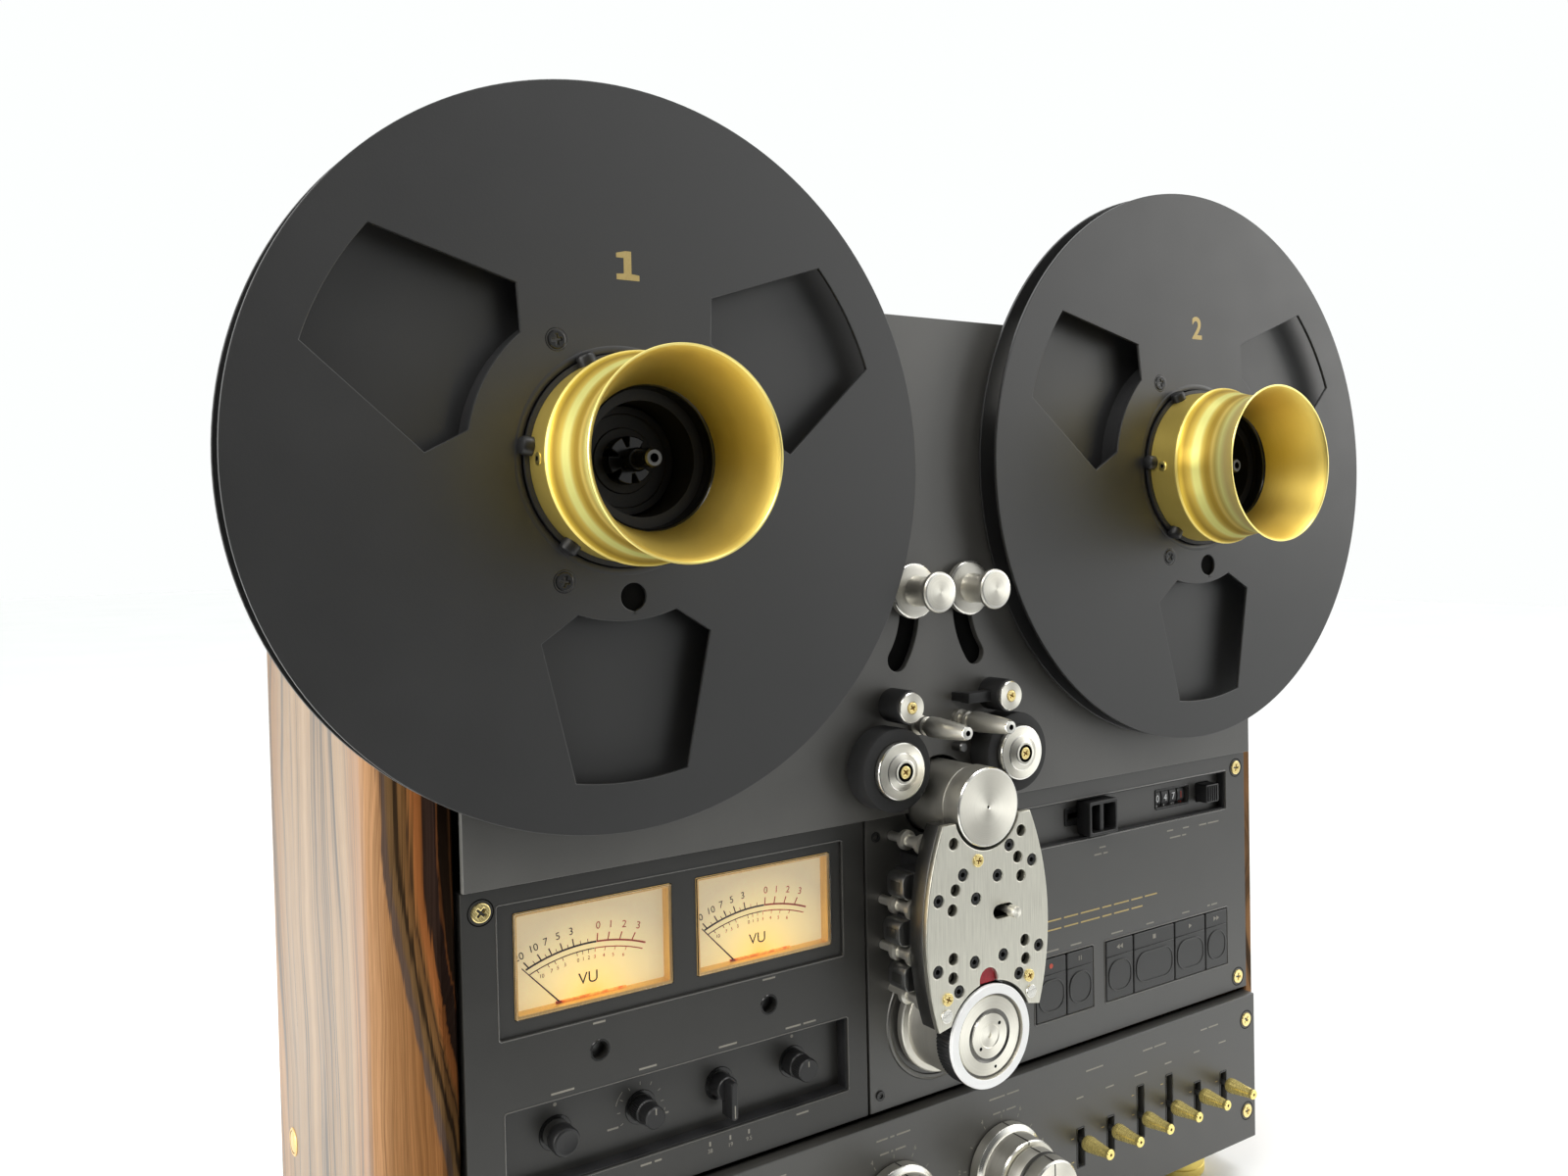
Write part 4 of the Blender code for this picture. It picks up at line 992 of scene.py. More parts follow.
def make_reel(hand, side, turn, thread):
    """Two flanges on a wide hub; turn sets the windows and thread the tape slot, in degrees."""
    x0 = side * SPINDLE_X
    centre = (x0, 0, 0)
    flange_radius = 133.5
    bore_radius = 38.3

    def moved(points):
        return [(x + x0, z) for x, z in points]

    windows = [moved(reel_window(radians(30 + 120 * k + turn))) for k in range(3)]
    bore = moved(ring(0, 0, bore_radius, 72))
    a = radians(thread)
    thread_at = (x0 + 48.8 * cos(a), 48.8 * sin(a))
    keyhole = arc(thread_at, 5.0, a + 0.25, a + tau - 0.25, 24)
    for lean in (0.12, -0.12):
        keyhole.append((x0 + 55.4 * cos(a + lean * 0.35), 55.4 * sin(a + lean * 0.35)))
    reel = Piece("reel_%s_flanges" % hand, centre)
    outline = moved(ring(0, 0, flange_radius, 180))
    reel.plate(outline, windows + [bore, keyhole], (-19.0, -17.5), "reel_anodised", 0.3)
    reel.plate(outline, [bore], (-8.7, -7.2), "reel_anodised", 0.3)
    hub = [(57.2, -17.6), (57.2, -8.6), (bore_radius, -8.6), (bore_radius, -17.6)]
    reel.turn(centre, hub, "hub_black", 120, closed=True)
    # Painted shade in the thread slot.
    reel.turn((thread_at[0], -17.7, thread_at[1]), [(0, 0), (5.6, 0)], "painted_shade_black", 32)
    reel.turn(centre, [(38.4, -18.9), (39.2, -19.2), (40.6, -19.2), (41.2, -18.9)], "reel_anodised", 120)
    for k in range(3):
        angle = radians(120 * k + turn)
        x = x0 + 48.5 * cos(angle)
        z = 48.5 * sin(angle)
        reel.turn((x, -19.0, z), [(4.2, -0.02), (3.9, -0.05), (3.5, 0.25)], "black_shiny", 32)
        reel.screw(x, -18.6, z, 3.4, "black_shiny", True, 0.7)
    if side < 0:
        one = [
            (4.6, 64.6), (4.6, 66.6), (1.5, 66.9), (1.5, 74.9), (-0.8, 74.9), (-4.4, 74.0),
            (-4.4, 72.4), (-1.5, 72.4), (-1.5, 66.9), (-4.4, 66.6), (-4.4, 64.6),
        ]
        reel.plate([(x0 + 3.2 + x, z) for x, z in one], [], (-19.04, -18.98), "print_gold", 0.01)
    else:
        reel.text("2", x0 + 0.6, -19.03, 68.0, 15.0, "print_gold", weight=0.35)
    reel.done("reel_drive_" + hand, "reel", "reel_" + hand)


def make_adapter(hand, side, first_nub):
    """A black neck with six nubs that grip the reel, and a flared gold bell."""
    x0 = side * SPINDLE_X
    centre = (x0, 0, 0)
    bell = Piece("bell_adapter_%s_turned" % hand, centre)
    # The waist of the bell carries the painted highlight and shade rings.
    outer = [
        (36.2, -20.6), (36.2, -34.6, "gold_spun"), (36.9, -35.3), (37.5, -35.9), (37.5, -36.6),
        (36.9, -37.4, "gold_painted_bands"), (36.3, -38.6), (35.6, -40.8), (34.8, -43.4), (34.0, -46.2),
        (33.3, -49.0), (32.8, -51.8), (32.5, -54.6), (32.5, -57.2), (32.8, -59.6), (33.4, -61.8),
        (34.2, -64.0), (35.1, -65.9), (35.9, -67.1, "gold_bright"), (36.4, -67.7), (36.2, -68.0),
        (35.7, -68.0), (35.4, -67.7, "gold_satin"),
    ]
    inner = [
        (34.3, -65.8), (33.2, -63.2), (32.1, -60.2), (31.0, -57.0), (29.8, -53.4), (28.5, -49.4),
        (27.1, -45.0), (25.4, -40.0, "black_shiny"),
    ]
    throat = [
        (24.9, -39.6), (24.4, -38.6), (24.2, -33.4, "hub_black"), (20.4, -33.4),
        (20.4, -10.2), (36.2, -10.2), (36.2, -20.6),
    ]
    bell.turn(centre, outer + inner + throat, "gold_satin", 128)
    bell.turn(centre, [(36.3, -19.4), (38.0, -19.4), (38.0, -20.6), (36.3, -20.9)], "hub_black", 96)
    for k in range(6):
        angle = radians(first_nub + 60 * k)
        out = (cos(angle), 0, sin(angle))
        spot = (x0 + 36.0 * out[0], -21.8, 36.0 * out[2])
        nub = [(3.4, 0.0), (3.4, 3.0), (2.9, 3.9), (1.6, 4.4), (0, 4.5)]
        bell.turn(spot, nub, "black_plastic", 24, aim=out)
    button = [(2.3, 0.0), (2.3, 0.3), (1.9, 0.5), (0.9, 0.5, "painted_shade_black"), (0.9, 0.1), (0, 0.1)]
    bell.turn((x0 - 36.1, -28.0, 0), button, "gold_bright", 24, aim=(-1, 0, 0))
    bell.done("reel_drive_" + hand, "gold", "bell_adapter_" + hand)


def make_reel_table(hand, side):
    """The platter, and a splined cap with a hollow silver tip."""
    x0 = side * SPINDLE_X
    centre = (x0, 0, 0)
    table = Piece("reel_table_%s_turned" % hand, centre)
    body = [
        (8.0, 34.0), (8.0, -4.5), (48.0, -4.5), (49.6, -4.9), (50.0, -5.4), (50.0, -6.6), (49.6, -6.9),
        (19.8, -6.9), (19.8, -18.6), (19.4, -19.0), (17.0, -19.0), (16.6, -18.4), (12.0, -18.4),
        (11.6, -19.0), (8.6, -19.2),
    ]
    table.turn(centre, body, "hub_black", 72)
    star = []
    for k in range(6):
        middle = radians(60 * k + 12)
        star += arc((0, 0), 8.6, middle - 0.36, middle + 0.36, 6)
        star += arc((0, 0), 5.0, middle + 0.44, middle + 0.60, 2)
    star = [(x + x0, z) for x, z in star]
    table.plate(star, [], (-24.4, -18.8), "black_shiny", 0.4)
    # The hollow in the tip is painted shade.
    tip = [
        (4.3, -24.2), (4.3, -29.5), (3.7, -30.4), (3.1, -30.6), (3.1, -41.8, "dark_spun"), (2.7, -42.4),
        (1.6, -42.5), (1.6, -39.0, "painted_shade_black"), (0, -39.0),
    ]
    table.turn(centre, tip, "black_shiny", 40)
    rim = [(3.15, -40.0), (3.3, -40.1), (3.3, -41.8), (2.8, -42.5), (2.0, -42.5)]
    table.turn(centre, rim, "dark_spun", 40)
    table.done("reel_drive_" + hand, "black", "reel_table_" + hand)


# Tape path


def make_tension(hand, side):
    x = side * TENSION[0]
    z = TENSION[1]
    pivot = (side * TENSION_PIVOT[0], 1.35, TENSION_PIVOT[1])
    arm = Piece("tension_arm_%s_bar" % hand, pivot)
    bar = mirrored(capsule(TENSION_PIVOT, TENSION, 4.5), side)
    arm.plate(bar, [], (0.1, 2.6), "steel_zinc", 0.3)
    arm.turn((x, 0, z), [(2.6, 1.0), (2.6, -18.0), (0, -18.0)], "silver_drum", 32)
    arm.done("tension_arm_" + hand, "steel", "tension_arm_" + hand)
    roll = Piece("tension_roller_%s_turned" % hand, (x, 0, z))
    profile = [
        (3.0, -5.4), (11.0, -5.4), (11.8, -5.9), (11.8, -8.4, "silver_bright"),
        (11.2, -8.9, "silver_drum"), (9.6, -9.3), (6.6, -9.6), (6.3, -10.4), (6.2, -21.4), (6.6, -22.2),
        (8.2, -22.7), (8.6, -23.2), (8.6, -24.9), (8.1, -25.5, "silver_bright"),
        (7.4, -25.7, "silver_spun"), (0, -25.7),
    ]
    roll.turn((x, 0, z), profile, "silver_drum", 72)
    roll.done("tension_roller_" + hand, "silver", "tension_roller_" + hand)


def make_idler(hand, side):
    x = side * IDLER[0]
    z = IDLER[1]
    roll = Piece("idler_roller_%s_turned" % hand, (x, 0, z))
    profile = [
        (2.6, -6.0), (6.8, -6.0), (7.2, -6.5), (7.2, -18.9), (7.0, -19.3),
        (6.5, -19.5, "silver_bright"), (6.4, -20.2), (6.1, -20.5, "silver_spun"), (2.7, -20.5),
        (2.5, -20.1), (0, -20.1),
    ]
    roll.turn((x, 0, z), profile, "black_plastic", 64)
    roll.screw(x, -20.0, z, 2.4, "brass_screw", True, 0.8)
    roll.done("idler_roller_" + hand, "black", "idler_roller_" + hand)


def make_pinch(hand, side):
    x = side * PINCH[0]
    z = PINCH[1]
    arm = Piece("pinch_arm_%s_bar" % hand, (side * PINCH_PIVOT[0], 4.45, PINCH_PIVOT[1]))
    bar = mirrored(capsule(PINCH_PIVOT, PINCH, 4.2), side)
    arm.plate(bar, [], (3.2, 5.7), "steel_zinc", 0.3)
    arm.turn((x, 0, z), [(3.0, 4.0), (3.0, -16.5), (0, -16.5)], "silver_drum", 32)
    arm.done("pinch_arm_" + hand, "steel", "pinch_arm_" + hand)
    roll = Piece("pinch_roller_%s_tyre" % hand, (x, 0, z))
    tyre = [
        (3.4, -5.0), (16.6, -5.0), (17.3, -5.3), (17.6, -6.0), (17.6, -16.8), (17.3, -17.5),
        (16.6, -17.8), (12.6, -17.8),
    ]
    # The recess round the screw is painted shade.
    face = [
        (12.2, -17.4, "silver_bright"), (12.2, -19.9), (11.9, -20.4), (11.4, -20.6, "silver_spun"),
        (7.9, -20.9, "silver_bright"), (7.5, -21.2, "silver_drum"), (5.2, -22.6, "silver_bright"),
        (4.8, -22.8, "silver_spun"), (3.9, -22.8, "painted_shade_black"), (3.7, -22.4), (3.5, -21.8), (0, -21.8),
    ]
    roll.turn((x, 0, z), tyre + face, "tyre_rubber", 88)
    roll.screw(x, -22.0, z, 2.7, "brass_screw", True, 0.8)
    roll.done("pinch_roller_" + hand, "rubber", "pinch_roller_" + hand)


def make_capstan():
    capstan = Piece("capstan_turned", (0, 0, CAPSTAN_Z))
    # The centre hole in the face is painted shade.
    profile = [
        (6.0, 24.0), (6.0, 6.5), (16.1, 6.5, "silver_drum"), (16.1, -24.6), (15.7, -24.9, "dark_spun"),
        (15.7, -25.5), (16.3, -25.8, "silver_bright"), (16.7, -26.1, "silver_drum"),
        (16.7, -35.2, "silver_bright"), (16.3, -35.7), (15.8, -35.8, "silver_spun"), (0.9, -35.8),
        (0.6, -35.4, "painted_shade_black"), (0, -35.4),
    ]
    capstan.turn((0, 0, CAPSTAN_Z), profile, "dark_spun", 128)
    capstan.done("capstan", "silver", "capstan")


def make_reverser():
    z = REVERSER_Z
    roll = Piece("reversing_roller_turned", (0, 0, z))
    drum = [
        (5.5, 24.0), (5.5, -1.2), (23.8, -1.2), (24.3, -1.6), (24.3, -4.6), (23.8, -5.1), (21.6, -5.6),
        (21.4, -6.2), (21.4, -24.6),
    ]
    roll.turn((0, 0, z), drum, "silver_drum", SIDES)
    knurl = [(21.2, -24.6), (21.9, -25.0), (22.1, -25.6), (22.1, -33.2), (21.9, -33.6)]
    roll.turn((0, 0, z), knurl, "black_plastic", 180, knurl=(1, 4, 0.45))
    # The dark rings at the step by the white ring and round the centre boss are painted shade.
    face = [
        (21.9, -33.6), (21.9, -34.7), (21.5, -35.2), (18.1, -35.2), (17.9, -35.0, "silver_drum"),
        (17.7, -33.2, "dark_spun"), (17.0, -33.2, "silver_bright"), (16.6, -33.9, "silver_spun"),
        (11.4, -33.9, "dark_spun"), (11.1, -33.6), (9.9, -33.2, "silver_bright"),
        (9.4, -34.2, "silver_spun"), (5.2, -34.2), (4.8, -33.9), (1.0, -33.9), (0.8, -33.4), (0, -33.4),
    ]
    roll.turn((0, 0, z), face, "white_ring", 128)
    # Painted shade in the screw holes.
    for k in range(2):
        angle = radians(40 + 180 * k)
        roll.turn((6.9 * cos(angle), -34.2, z + 6.9 * sin(angle)), [(0, -0.03), (0.8, -0.03)], "painted_shade_black", 16)
    roll.turn((3.0, -33.9, z - 13.8), [(0, -0.03), (0.7, -0.03)], "painted_shade_black", 16)
    roll.done("reversing_roller", "silver", "reversing_roller")


def circle_through(first, second, third):
    """Centre, radius, and the angles of the first and third points."""
    ax, ay = first
    bx, by = second
    cx, cy = third
    d = 2 * (ax * (by - cy) + bx * (cy - ay) + cx * (ay - by))
    a = ax * ax + ay * ay
    b = bx * bx + by * by
    c = cx * cx + cy * cy
    x = (a * (by - cy) + b * (cy - ay) + c * (ay - by)) / d
    y = (a * (cx - bx) + b * (ax - cx) + c * (bx - ax)) / d
    start = atan2(ay - y, ax - x)
    end = atan2(cy - y, cx - x)
    return (x, y), hypot(ax - x, ay - y), start, end


def head_outline(inset, notched=False):
    """The head plate: bowed sides, hollowed for the capstan above and the reversing roller below."""
    top = (24.2 - inset, -148.7 - inset)
    side = (33.9 - inset, -195.0)
    foot = (28.0 - inset, -233.4 + inset)
    middle, radius, start, end = circle_through(top, side, foot)
    capstan_clear = 18.1 + inset
    reverser_clear = 23.5 + inset
    upper = asin((top[1] - CAPSTAN_Z) / capstan_clear)
    lower = asin((-232.0 + inset - REVERSER_Z) / reverser_clear)
    right = arc(middle, radius, end, start, 24)
    outline = arc((0, CAPSTAN_Z), capstan_clear, -pi - upper, upper, 28)
    outline += list(reversed(right))
    if notched:
        outline += arc((0, REVERSER_Z), reverser_clear, lower, acos(4.1 / reverser_clear), 12)
        outline += arc((-0.85, -216.75), 4.95, 0.0, pi, 16)
        outline += arc((0, REVERSER_Z), reverser_clear, acos(-5.8 / reverser_clear), pi - lower, 12)
    else:
        outline += arc((0, REVERSER_Z), reverser_clear, lower, pi - lower, 28)
    return outline + [(-x, height) for x, height in right]


OPEN_HOLES = (
    (18.8, -156.7), (-18.8, -156.7), (16.6, -167.7), (18.3, -176.0), (-18.3, -176.0), (-20.1, -184.0),
    (20.0, -204.2), (-20.0, -204.2), (20.3, -212.2), (-20.3, -212.2),
)
SOCKET_SCREWS = (
    (11.9, -161.9), (24.8, -170.3), (-14.0, -170.4), (5.0, -173.7), (-27.3, -179.0), (-7.2, -181.5),
    (28.1, -208.0), (7.5, -208.0), (-8.4, -208.0), (-28.2, -208.0), (16.4, -217.9), (-17.2, -218.4),
)


def make_head_block():
    front = -35.0
    plate = Piece("head_plate_face")
    holes = [ring(x, z, 2.5, 28) for x, z in OPEN_HOLES]
    holes += [ring(x, z, 2.65, 28) for x, z in SOCKET_SCREWS]
    holes.append(capsule((5.2, -189.3), (10.8, -189.3), 2.9))
    plate.plate(head_outline(0.0, True), holes, (front, front + 3.0), "plate_brushed", 0.4)
    for x, z in SOCKET_SCREWS:
        plate.socket(x, front + 1.2, z, 2.3)
    for x, z in ((-5.8, -165.7), (22.0, -219.9), (-23.5, -220.2)):
        plate.screw(x, front + 0.1, z, 2.7, "brass_screw", True, 0.8)
    for x, z in ((23.0, -227.0), (-24.2, -227.0)):
        plate.screw(x, front + 0.1, z, 2.9, "silver_bright", False, 0.7)
    plate.plate(rect((-5.7, 4.0), (-218.7, -211.9), 0.4), [], (front + 1.8, front + 2.9), "red_lens", 0.2)
    plate.done("cabinet", "silver", "head_plate")
    block = Piece("head_block_body")
    slot = capsule((5.0, -189.3), (11.0, -189.3), 3.1)
    block.plate(head_outline(0.5), [slot], (-31.6, -23.0), "dark_spun", 0.5)
    block.box((-20, 20), (-23.2, -0.1), (-214, -166), "black_plastic", 0.6)
    for side in (-1, 1):
        for x, height in ((26.0, -175.5), (28.5, -194.5), (26.0, -214.0)):
            make_head(block, side, x, height)
        for height in (-158.5, -185.0, -204.5, -224.0):
            x = side * (30.0 if height < -170 else 24.5)
            if height < -220:
                x = side * 25.5
            guide = [
                (0, -22.8), (4.2, -22.8), (4.2, -20.6), (2.6, -20.0), (2.6, -12.4), (4.2, -11.8),
                (4.2, -9.4), (2.0, -9.0), (2.0, -0.1),
            ]
            block.turn((x, 0, height), guide, "silver_drum", 40)
    block.done("cabinet", "black", "head_block")
    centre = (10.6, 0, -189.3)
    pin = Piece("head_selector_pin", centre)
    profile = [
        (1.6, -25.4), (1.6, -35.8), (2.0, -36.2), (2.5, -36.6), (2.5, -40.0),
        (2.2, -40.7, "silver_spun"), (0, -40.9),
    ]
    pin.turn(centre, profile, "silver_drum", 48)
    pin.done("head_selector", "silver", "head_selector")


def make_head(block, side, x, height):
    """A tape head in its cradle: a polished nose and a wired back, both darker than bare head metal as
    painted shade.
    """
    xs = (side * (x - 9), side * (x + 3))
    block.box(xs, (-22.6, -8.0), (height - 6.2, height + 6.2), "black_plastic", 0.8)
    nose = rect((-5.2, 5.2), (-5.4, 5.4), 3.2, 8)
    outline = [(side * (x + 3.4) + px, height + pz) for px, pz in nose]
    block.plate(outline, [], (-20.8, -9.8), "steel_zinc", 0.4)
    gap = (side * (x + 8.1), side * (x + 8.9))
    block.box(gap, (-18.6, -12.4), (height - 2.0, height + 2.0), "dark_spun", 0.1)


# Meters and controls


UPPER_ARC = 63.1
LOWER_ARC = 60.7
VU_MARKS = (
    (-24.3, "20"), (-19.4, "10"), (-15.3, "7"), (-11.1, "5"), (-6.6, "3"), (2.7, "0"), (7.1, "1"),
    (11.9, "2"), (17.0, "3"),
)
VU_MINOR = (-21.8, -17.3, -13.2, -8.8, -3.9, -1.0)
LOW_MARKS = (
    (-21.3, "10"), (-17.1, "7"), (-14.4, "5"), (-11.3, "3"), (-5.5, "0"), (-3.2, "1"), (-0.8, "2"),
    (1.9, "3"), (6.0, "4"), (10.2, "5"), (14.8, "6"),
)


def make_meters():
    case = Piece("meter_case_dials")
    # Black blocks behind the dial cards: painted shade.
    for xs in METER_X:
        case.box((xs[0] + 1.2, xs[1] - 1.2), (9.0, 30), (METER_Z[0] + 1.0, METER_Z[1] - 1.0), "painted_shade_black")
    case.done("cabinet", "dial", "meter_case")
    for hand, xs in zip(("left", "right"), METER_X):
        middle = sum(xs) / 2
        make_dial_card(hand, xs, middle)
        make_needle(hand, middle)
    cover = Piece("meter_window_covers")
    trim = Piece("meter_trim_frames")
    for xs in METER_X:
        cover.plate(around(xs, METER_Z, -0.3, 0.6), [], (0.3, 1.5), "clear_cover", 0.3)
        inner = around(xs, METER_Z, -1.5, 0.6)
        trim.plate(around(xs, METER_Z, -0.2, 0.6), [inner], (1.7, 7.8), "copper_trim", 0.2)
    cover.done("cabinet", "glass", "meter_window")
    trim.done("cabinet", "dial")


def make_dial_card(hand, xs, middle):
    card = Piece("dial_card_" + hand, (middle, 6.6, METER_Z[0] + 2.0))
    card.plate(around(xs, METER_Z, -1.3), [], (6.6, 8.9), "dial_card", 0.1)
    face = 6.55
    centre = Vector((middle - 0.8, -241.8))
    fan = Vector((middle - 0.8, METER_PIVOT_Z - 1.0))

    def place(offset, radius=UPPER_ARC):
        x = offset + 0.8
        return Vector((middle + offset, centre.y + sqrt(radius * radius - x * x)))

    def outward(base):
        return (base - fan).normalized()

    def sweep(first, end, radius, width, look):
        last = place(first, radius)
        for step in range(1, 25):
            point = place(first + (end - first) * step / 24, radius)
            card.stroke(last, point, width, face, look)
            last = point

    sweep(-25.5, 2.4, UPPER_ARC, 0.75, "ink_black")
    sweep(2.6, 22.7, UPPER_ARC, 0.7, "ink_red")
    sweep(-24.0, 1.6, LOWER_ARC, 0.42, "ink_black")
    sweep(1.8, 21.4, LOWER_ARC, 0.42, "ink_red")
    for offset, figure in VU_MARKS:
        base = place(offset)
        out = outward(base)
        colour = "ink_red" if offset > 2.5 else "ink_black"
        card.stroke(base, base + out * 3.1, 0.5, face - 0.01, colour)
        spot = base + out * 5.9
        card.text(figure, spot.x, face - 0.02, spot.y, 3.9, colour, lean=atan2(out.x, out.y) * 0.4)
    for offset in VU_MINOR:
        base = place(offset)
        card.stroke(base, base + outward(base) * 1.6, 0.26, face - 0.01, "ink_black")
    for offset, figure in LOW_MARKS:
        base = place(offset, LOWER_ARC)
        out = outward(base)
        colour = "ink_red" if offset > 1.8 else "ink_black"
        card.stroke(base, base - out * 1.5, 0.26, face - 0.01, colour)
        spot = base - out * 3.2
        card.text(figure, spot.x, face - 0.02, spot.y, 2.0, colour)
    card.text("VU", middle - 1.1, face - 0.02, -191.8, 6.2, "ink_black")
    card.box((middle - 12.0, middle + 14.0), (5.6, 6.6), (-198.5, -197.6), "lamp_amber", 0.15)
    card.box((middle - 14.4, middle - 12.2), (5.4, 6.6), (-198.5, -197.6), "ink_red", 0.2)
    card.done("cabinet", "dial")


def make_needle(hand, middle):
    lean = radians(43.0)
    along = Vector((-sin(lean), cos(lean)))
    across = Vector((along.y, -along.x)) * 0.30
    foot = Vector((middle, METER_PIVOT_Z))
    start = foot + along * 20.4
    end = foot + along * 40.7
    outline = [start - across, start + across, end + across * 0.6, end - across * 0.6]
    needle = Piece("needle_%s_pointer" % hand, (middle, 4.45, METER_PIVOT_Z))
    needle.plate([tuple(point) for point in outline], [], (4.2, 4.7), "ink_black", 0.05)
    needle.done("needle_" + hand, "black", "needle_" + hand)


def tray_knob(name, x, profile, sides=64, knurl=None, mark=None):
    """A small control under the meters; its mark has a start, an end and a depth."""
    z = TRAY_KNOB_Z
    knob = Piece(name + "_cap", (x, 0, z))
    knob.turn((x, 0, z), profile, "black_plastic", sides, knurl=knurl)
    if name == "speed_selector":
        bar = rect((x - 1.5, x + 1.5), (z - 11.0, z + 4.0), 1.2, 6)
        knob.plate(bar, [], (-5.2, 3.0), "black_plastic", 0.6)
    if mark:
        knob.stroke((x, z + mark[0]), (x, z + mark[1]), 0.5, mark[2], "print_grey")
    knob.done(name, "black", name)


def make_tray_controls():
    power, pitch, speed, timer = TRAY_KNOB_X
    profile = [
        (2.2, 14), (2.2, 2.6), (5.2, 2.6), (5.4, 2.2), (5.4, -2.6), (5.0, -3.3), (4.2, -3.6),
        (3.4, -3.4), (0, -3.2),
    ]
    tray_knob("power_button", power, profile)
    stem = [(2.2, 14), (2.2, 6.5)]
    profile = stem + [(4.8, 6.5), (4.8, 1.2), (4.2, 0.6), (4.2, -5.4), (3.7, -6.0), (0, -6.0)]
    tray_knob("pitch_knob", pitch, profile, 72, (2, 3, 0.25), (1.4, 3.8, -6.03))
    profile = stem + [(5.2, 6.5), (5.2, 1.0), (4.8, 0.5), (4.8, -5.0), (4.3, -5.6), (0, -5.6)]
    tray_knob("timer_knob", timer, profile, 72, (4, 5, 0.2), (1.6, 3.8, -5.63))
    profile = stem + [(4.6, 6.5), (4.6, 0.5), (4.2, 0), (0, 0)]
    tray_knob("speed_selector", speed, profile, 64, None, (-5, -10, -5.23))


def make_counter_controls():
    cue = Piece("cue_lever_cup", (101.9, 0, -168.6))
    outline = rect((92.1, 111.7), (-177.0, -160.2), 1.2)
    cup = rect((93.9, 109.9), (-175.2, -162.0), 1.0)
    cue.plate(outline, [cup], (-4.0, 4.5), "black_plastic", 0.5)
    cue.plate(cup, [], (2.4, 4.4), "black_plastic", 0.05)
    cue.box((100.6, 103.2), (-2.6, 3.0), (-175.4, -161.8), "black_plastic", 0.4)
    cue.box((100.0, 104.0), (4.0, 12.0), (-169.0, -166.6), "black_plastic", 0.3)
    cue.done("cue_lever", "black", "cue_lever")
    reset = Piece("counter_reset_key", (185.0, 0, -168.5))
    reset.plate(rect((180.0, 190.0), (-173.2, -163.8), 0.8), [], (-1.9, 12.0), "black_plastic", 0.5)
    for rib in range(5):
        x = 181.8 + rib * 1.6
        reset.box((x - 0.35, x + 0.35), (-2.4, -1.7), (-172.4, -164.6), "black_plastic", 0.15)
    reset.done("counter_reset", "black", "counter_reset")


def key_symbol(key, name, x, z):
    """Generic transport signs: triangles, a square, a dot and two bars."""

    def sign(outline, look="print_grey"):
        key.plate(outline, [], (-0.48, -0.42), look, 0.005)

    def triangle(left, right):
        sign([(x + left, z), (x + right, z + 1.25), (x + right, z - 1.25)])

    if name == "rewind":
        triangle(-2.2, -0.1)
        triangle(0.1, 2.2)
    if name == "fast_forward":
        triangle(2.2, 0.1)
        triangle(-0.1, -2.2)
    if name == "play":
        triangle(1.2, -1.0)
    if name == "stop":
        sign(rect((x - 1.1, x + 1.1), (z - 1.1, z + 1.1)))
    if name == "pause":
        for shift in (-0.7, 0.7):
            key.stroke((x + shift, z - 1.1), (x + shift, z + 1.1), 0.55, -0.49, "print_grey")
    if name == "record":
        sign(ring(x, z, 1.2, 20), "ink_red")


def make_buttons():
    groups = (
        (("record", "pause"), (58.6, 78.8, 97.0)),
        (("rewind", "stop", "play", "fast_forward"), (105.6, 125.2, 155.8, 179.7, 197.3)),
    )
    for names, edges in groups:
        for name, left, right in zip(names, edges, edges[1:]):
            middle = (left + right) / 2
            key = Piece("button_%s_key" % name, (middle, 0, -246.0))
            outline = rect((left + 0.3, right - 0.3), (-260.6, -231.3), 0.9)
            key.plate(outline, [], (-0.4, 7.5), "key_plastic", 0.5)
            half = (right - left) / 2 - 1.7
            dish = rect((middle - half, middle + half), (-256.8, -241.3), 6.6, 8)
            hollow = rect((middle - half + 0.8, middle + half - 0.8), (-256.0, -242.1), 5.9, 8)
            key.plate(dish, [hollow], (-0.85, 0.2), "key_plastic", 0.3)
            key.plate(hollow, [], (-0.55, 0.2), "key_plastic", 0.1)
            key.box((left + 0.8, right - 0.8), (-0.62, 0.0), (-239.45, -238.75), "black_shiny", 0.15)
            key_symbol(key, name, middle, -235.0)
            key.done("button_" + name, "panel", "button_" + name)


REAR_MARKS = (-22.9, (15.8, 17.3), (((-22.4, -12.6), (16.9, 17.62)), ((-10.2, -6.0), (19.4, 20.06))))
FRONT_MARKS = (-39.2, (6.0, 13.6), (((-38.2, -32.6), (14.4, 14.98)), ((-30.0, -23.9), (14.8, 15.44))))


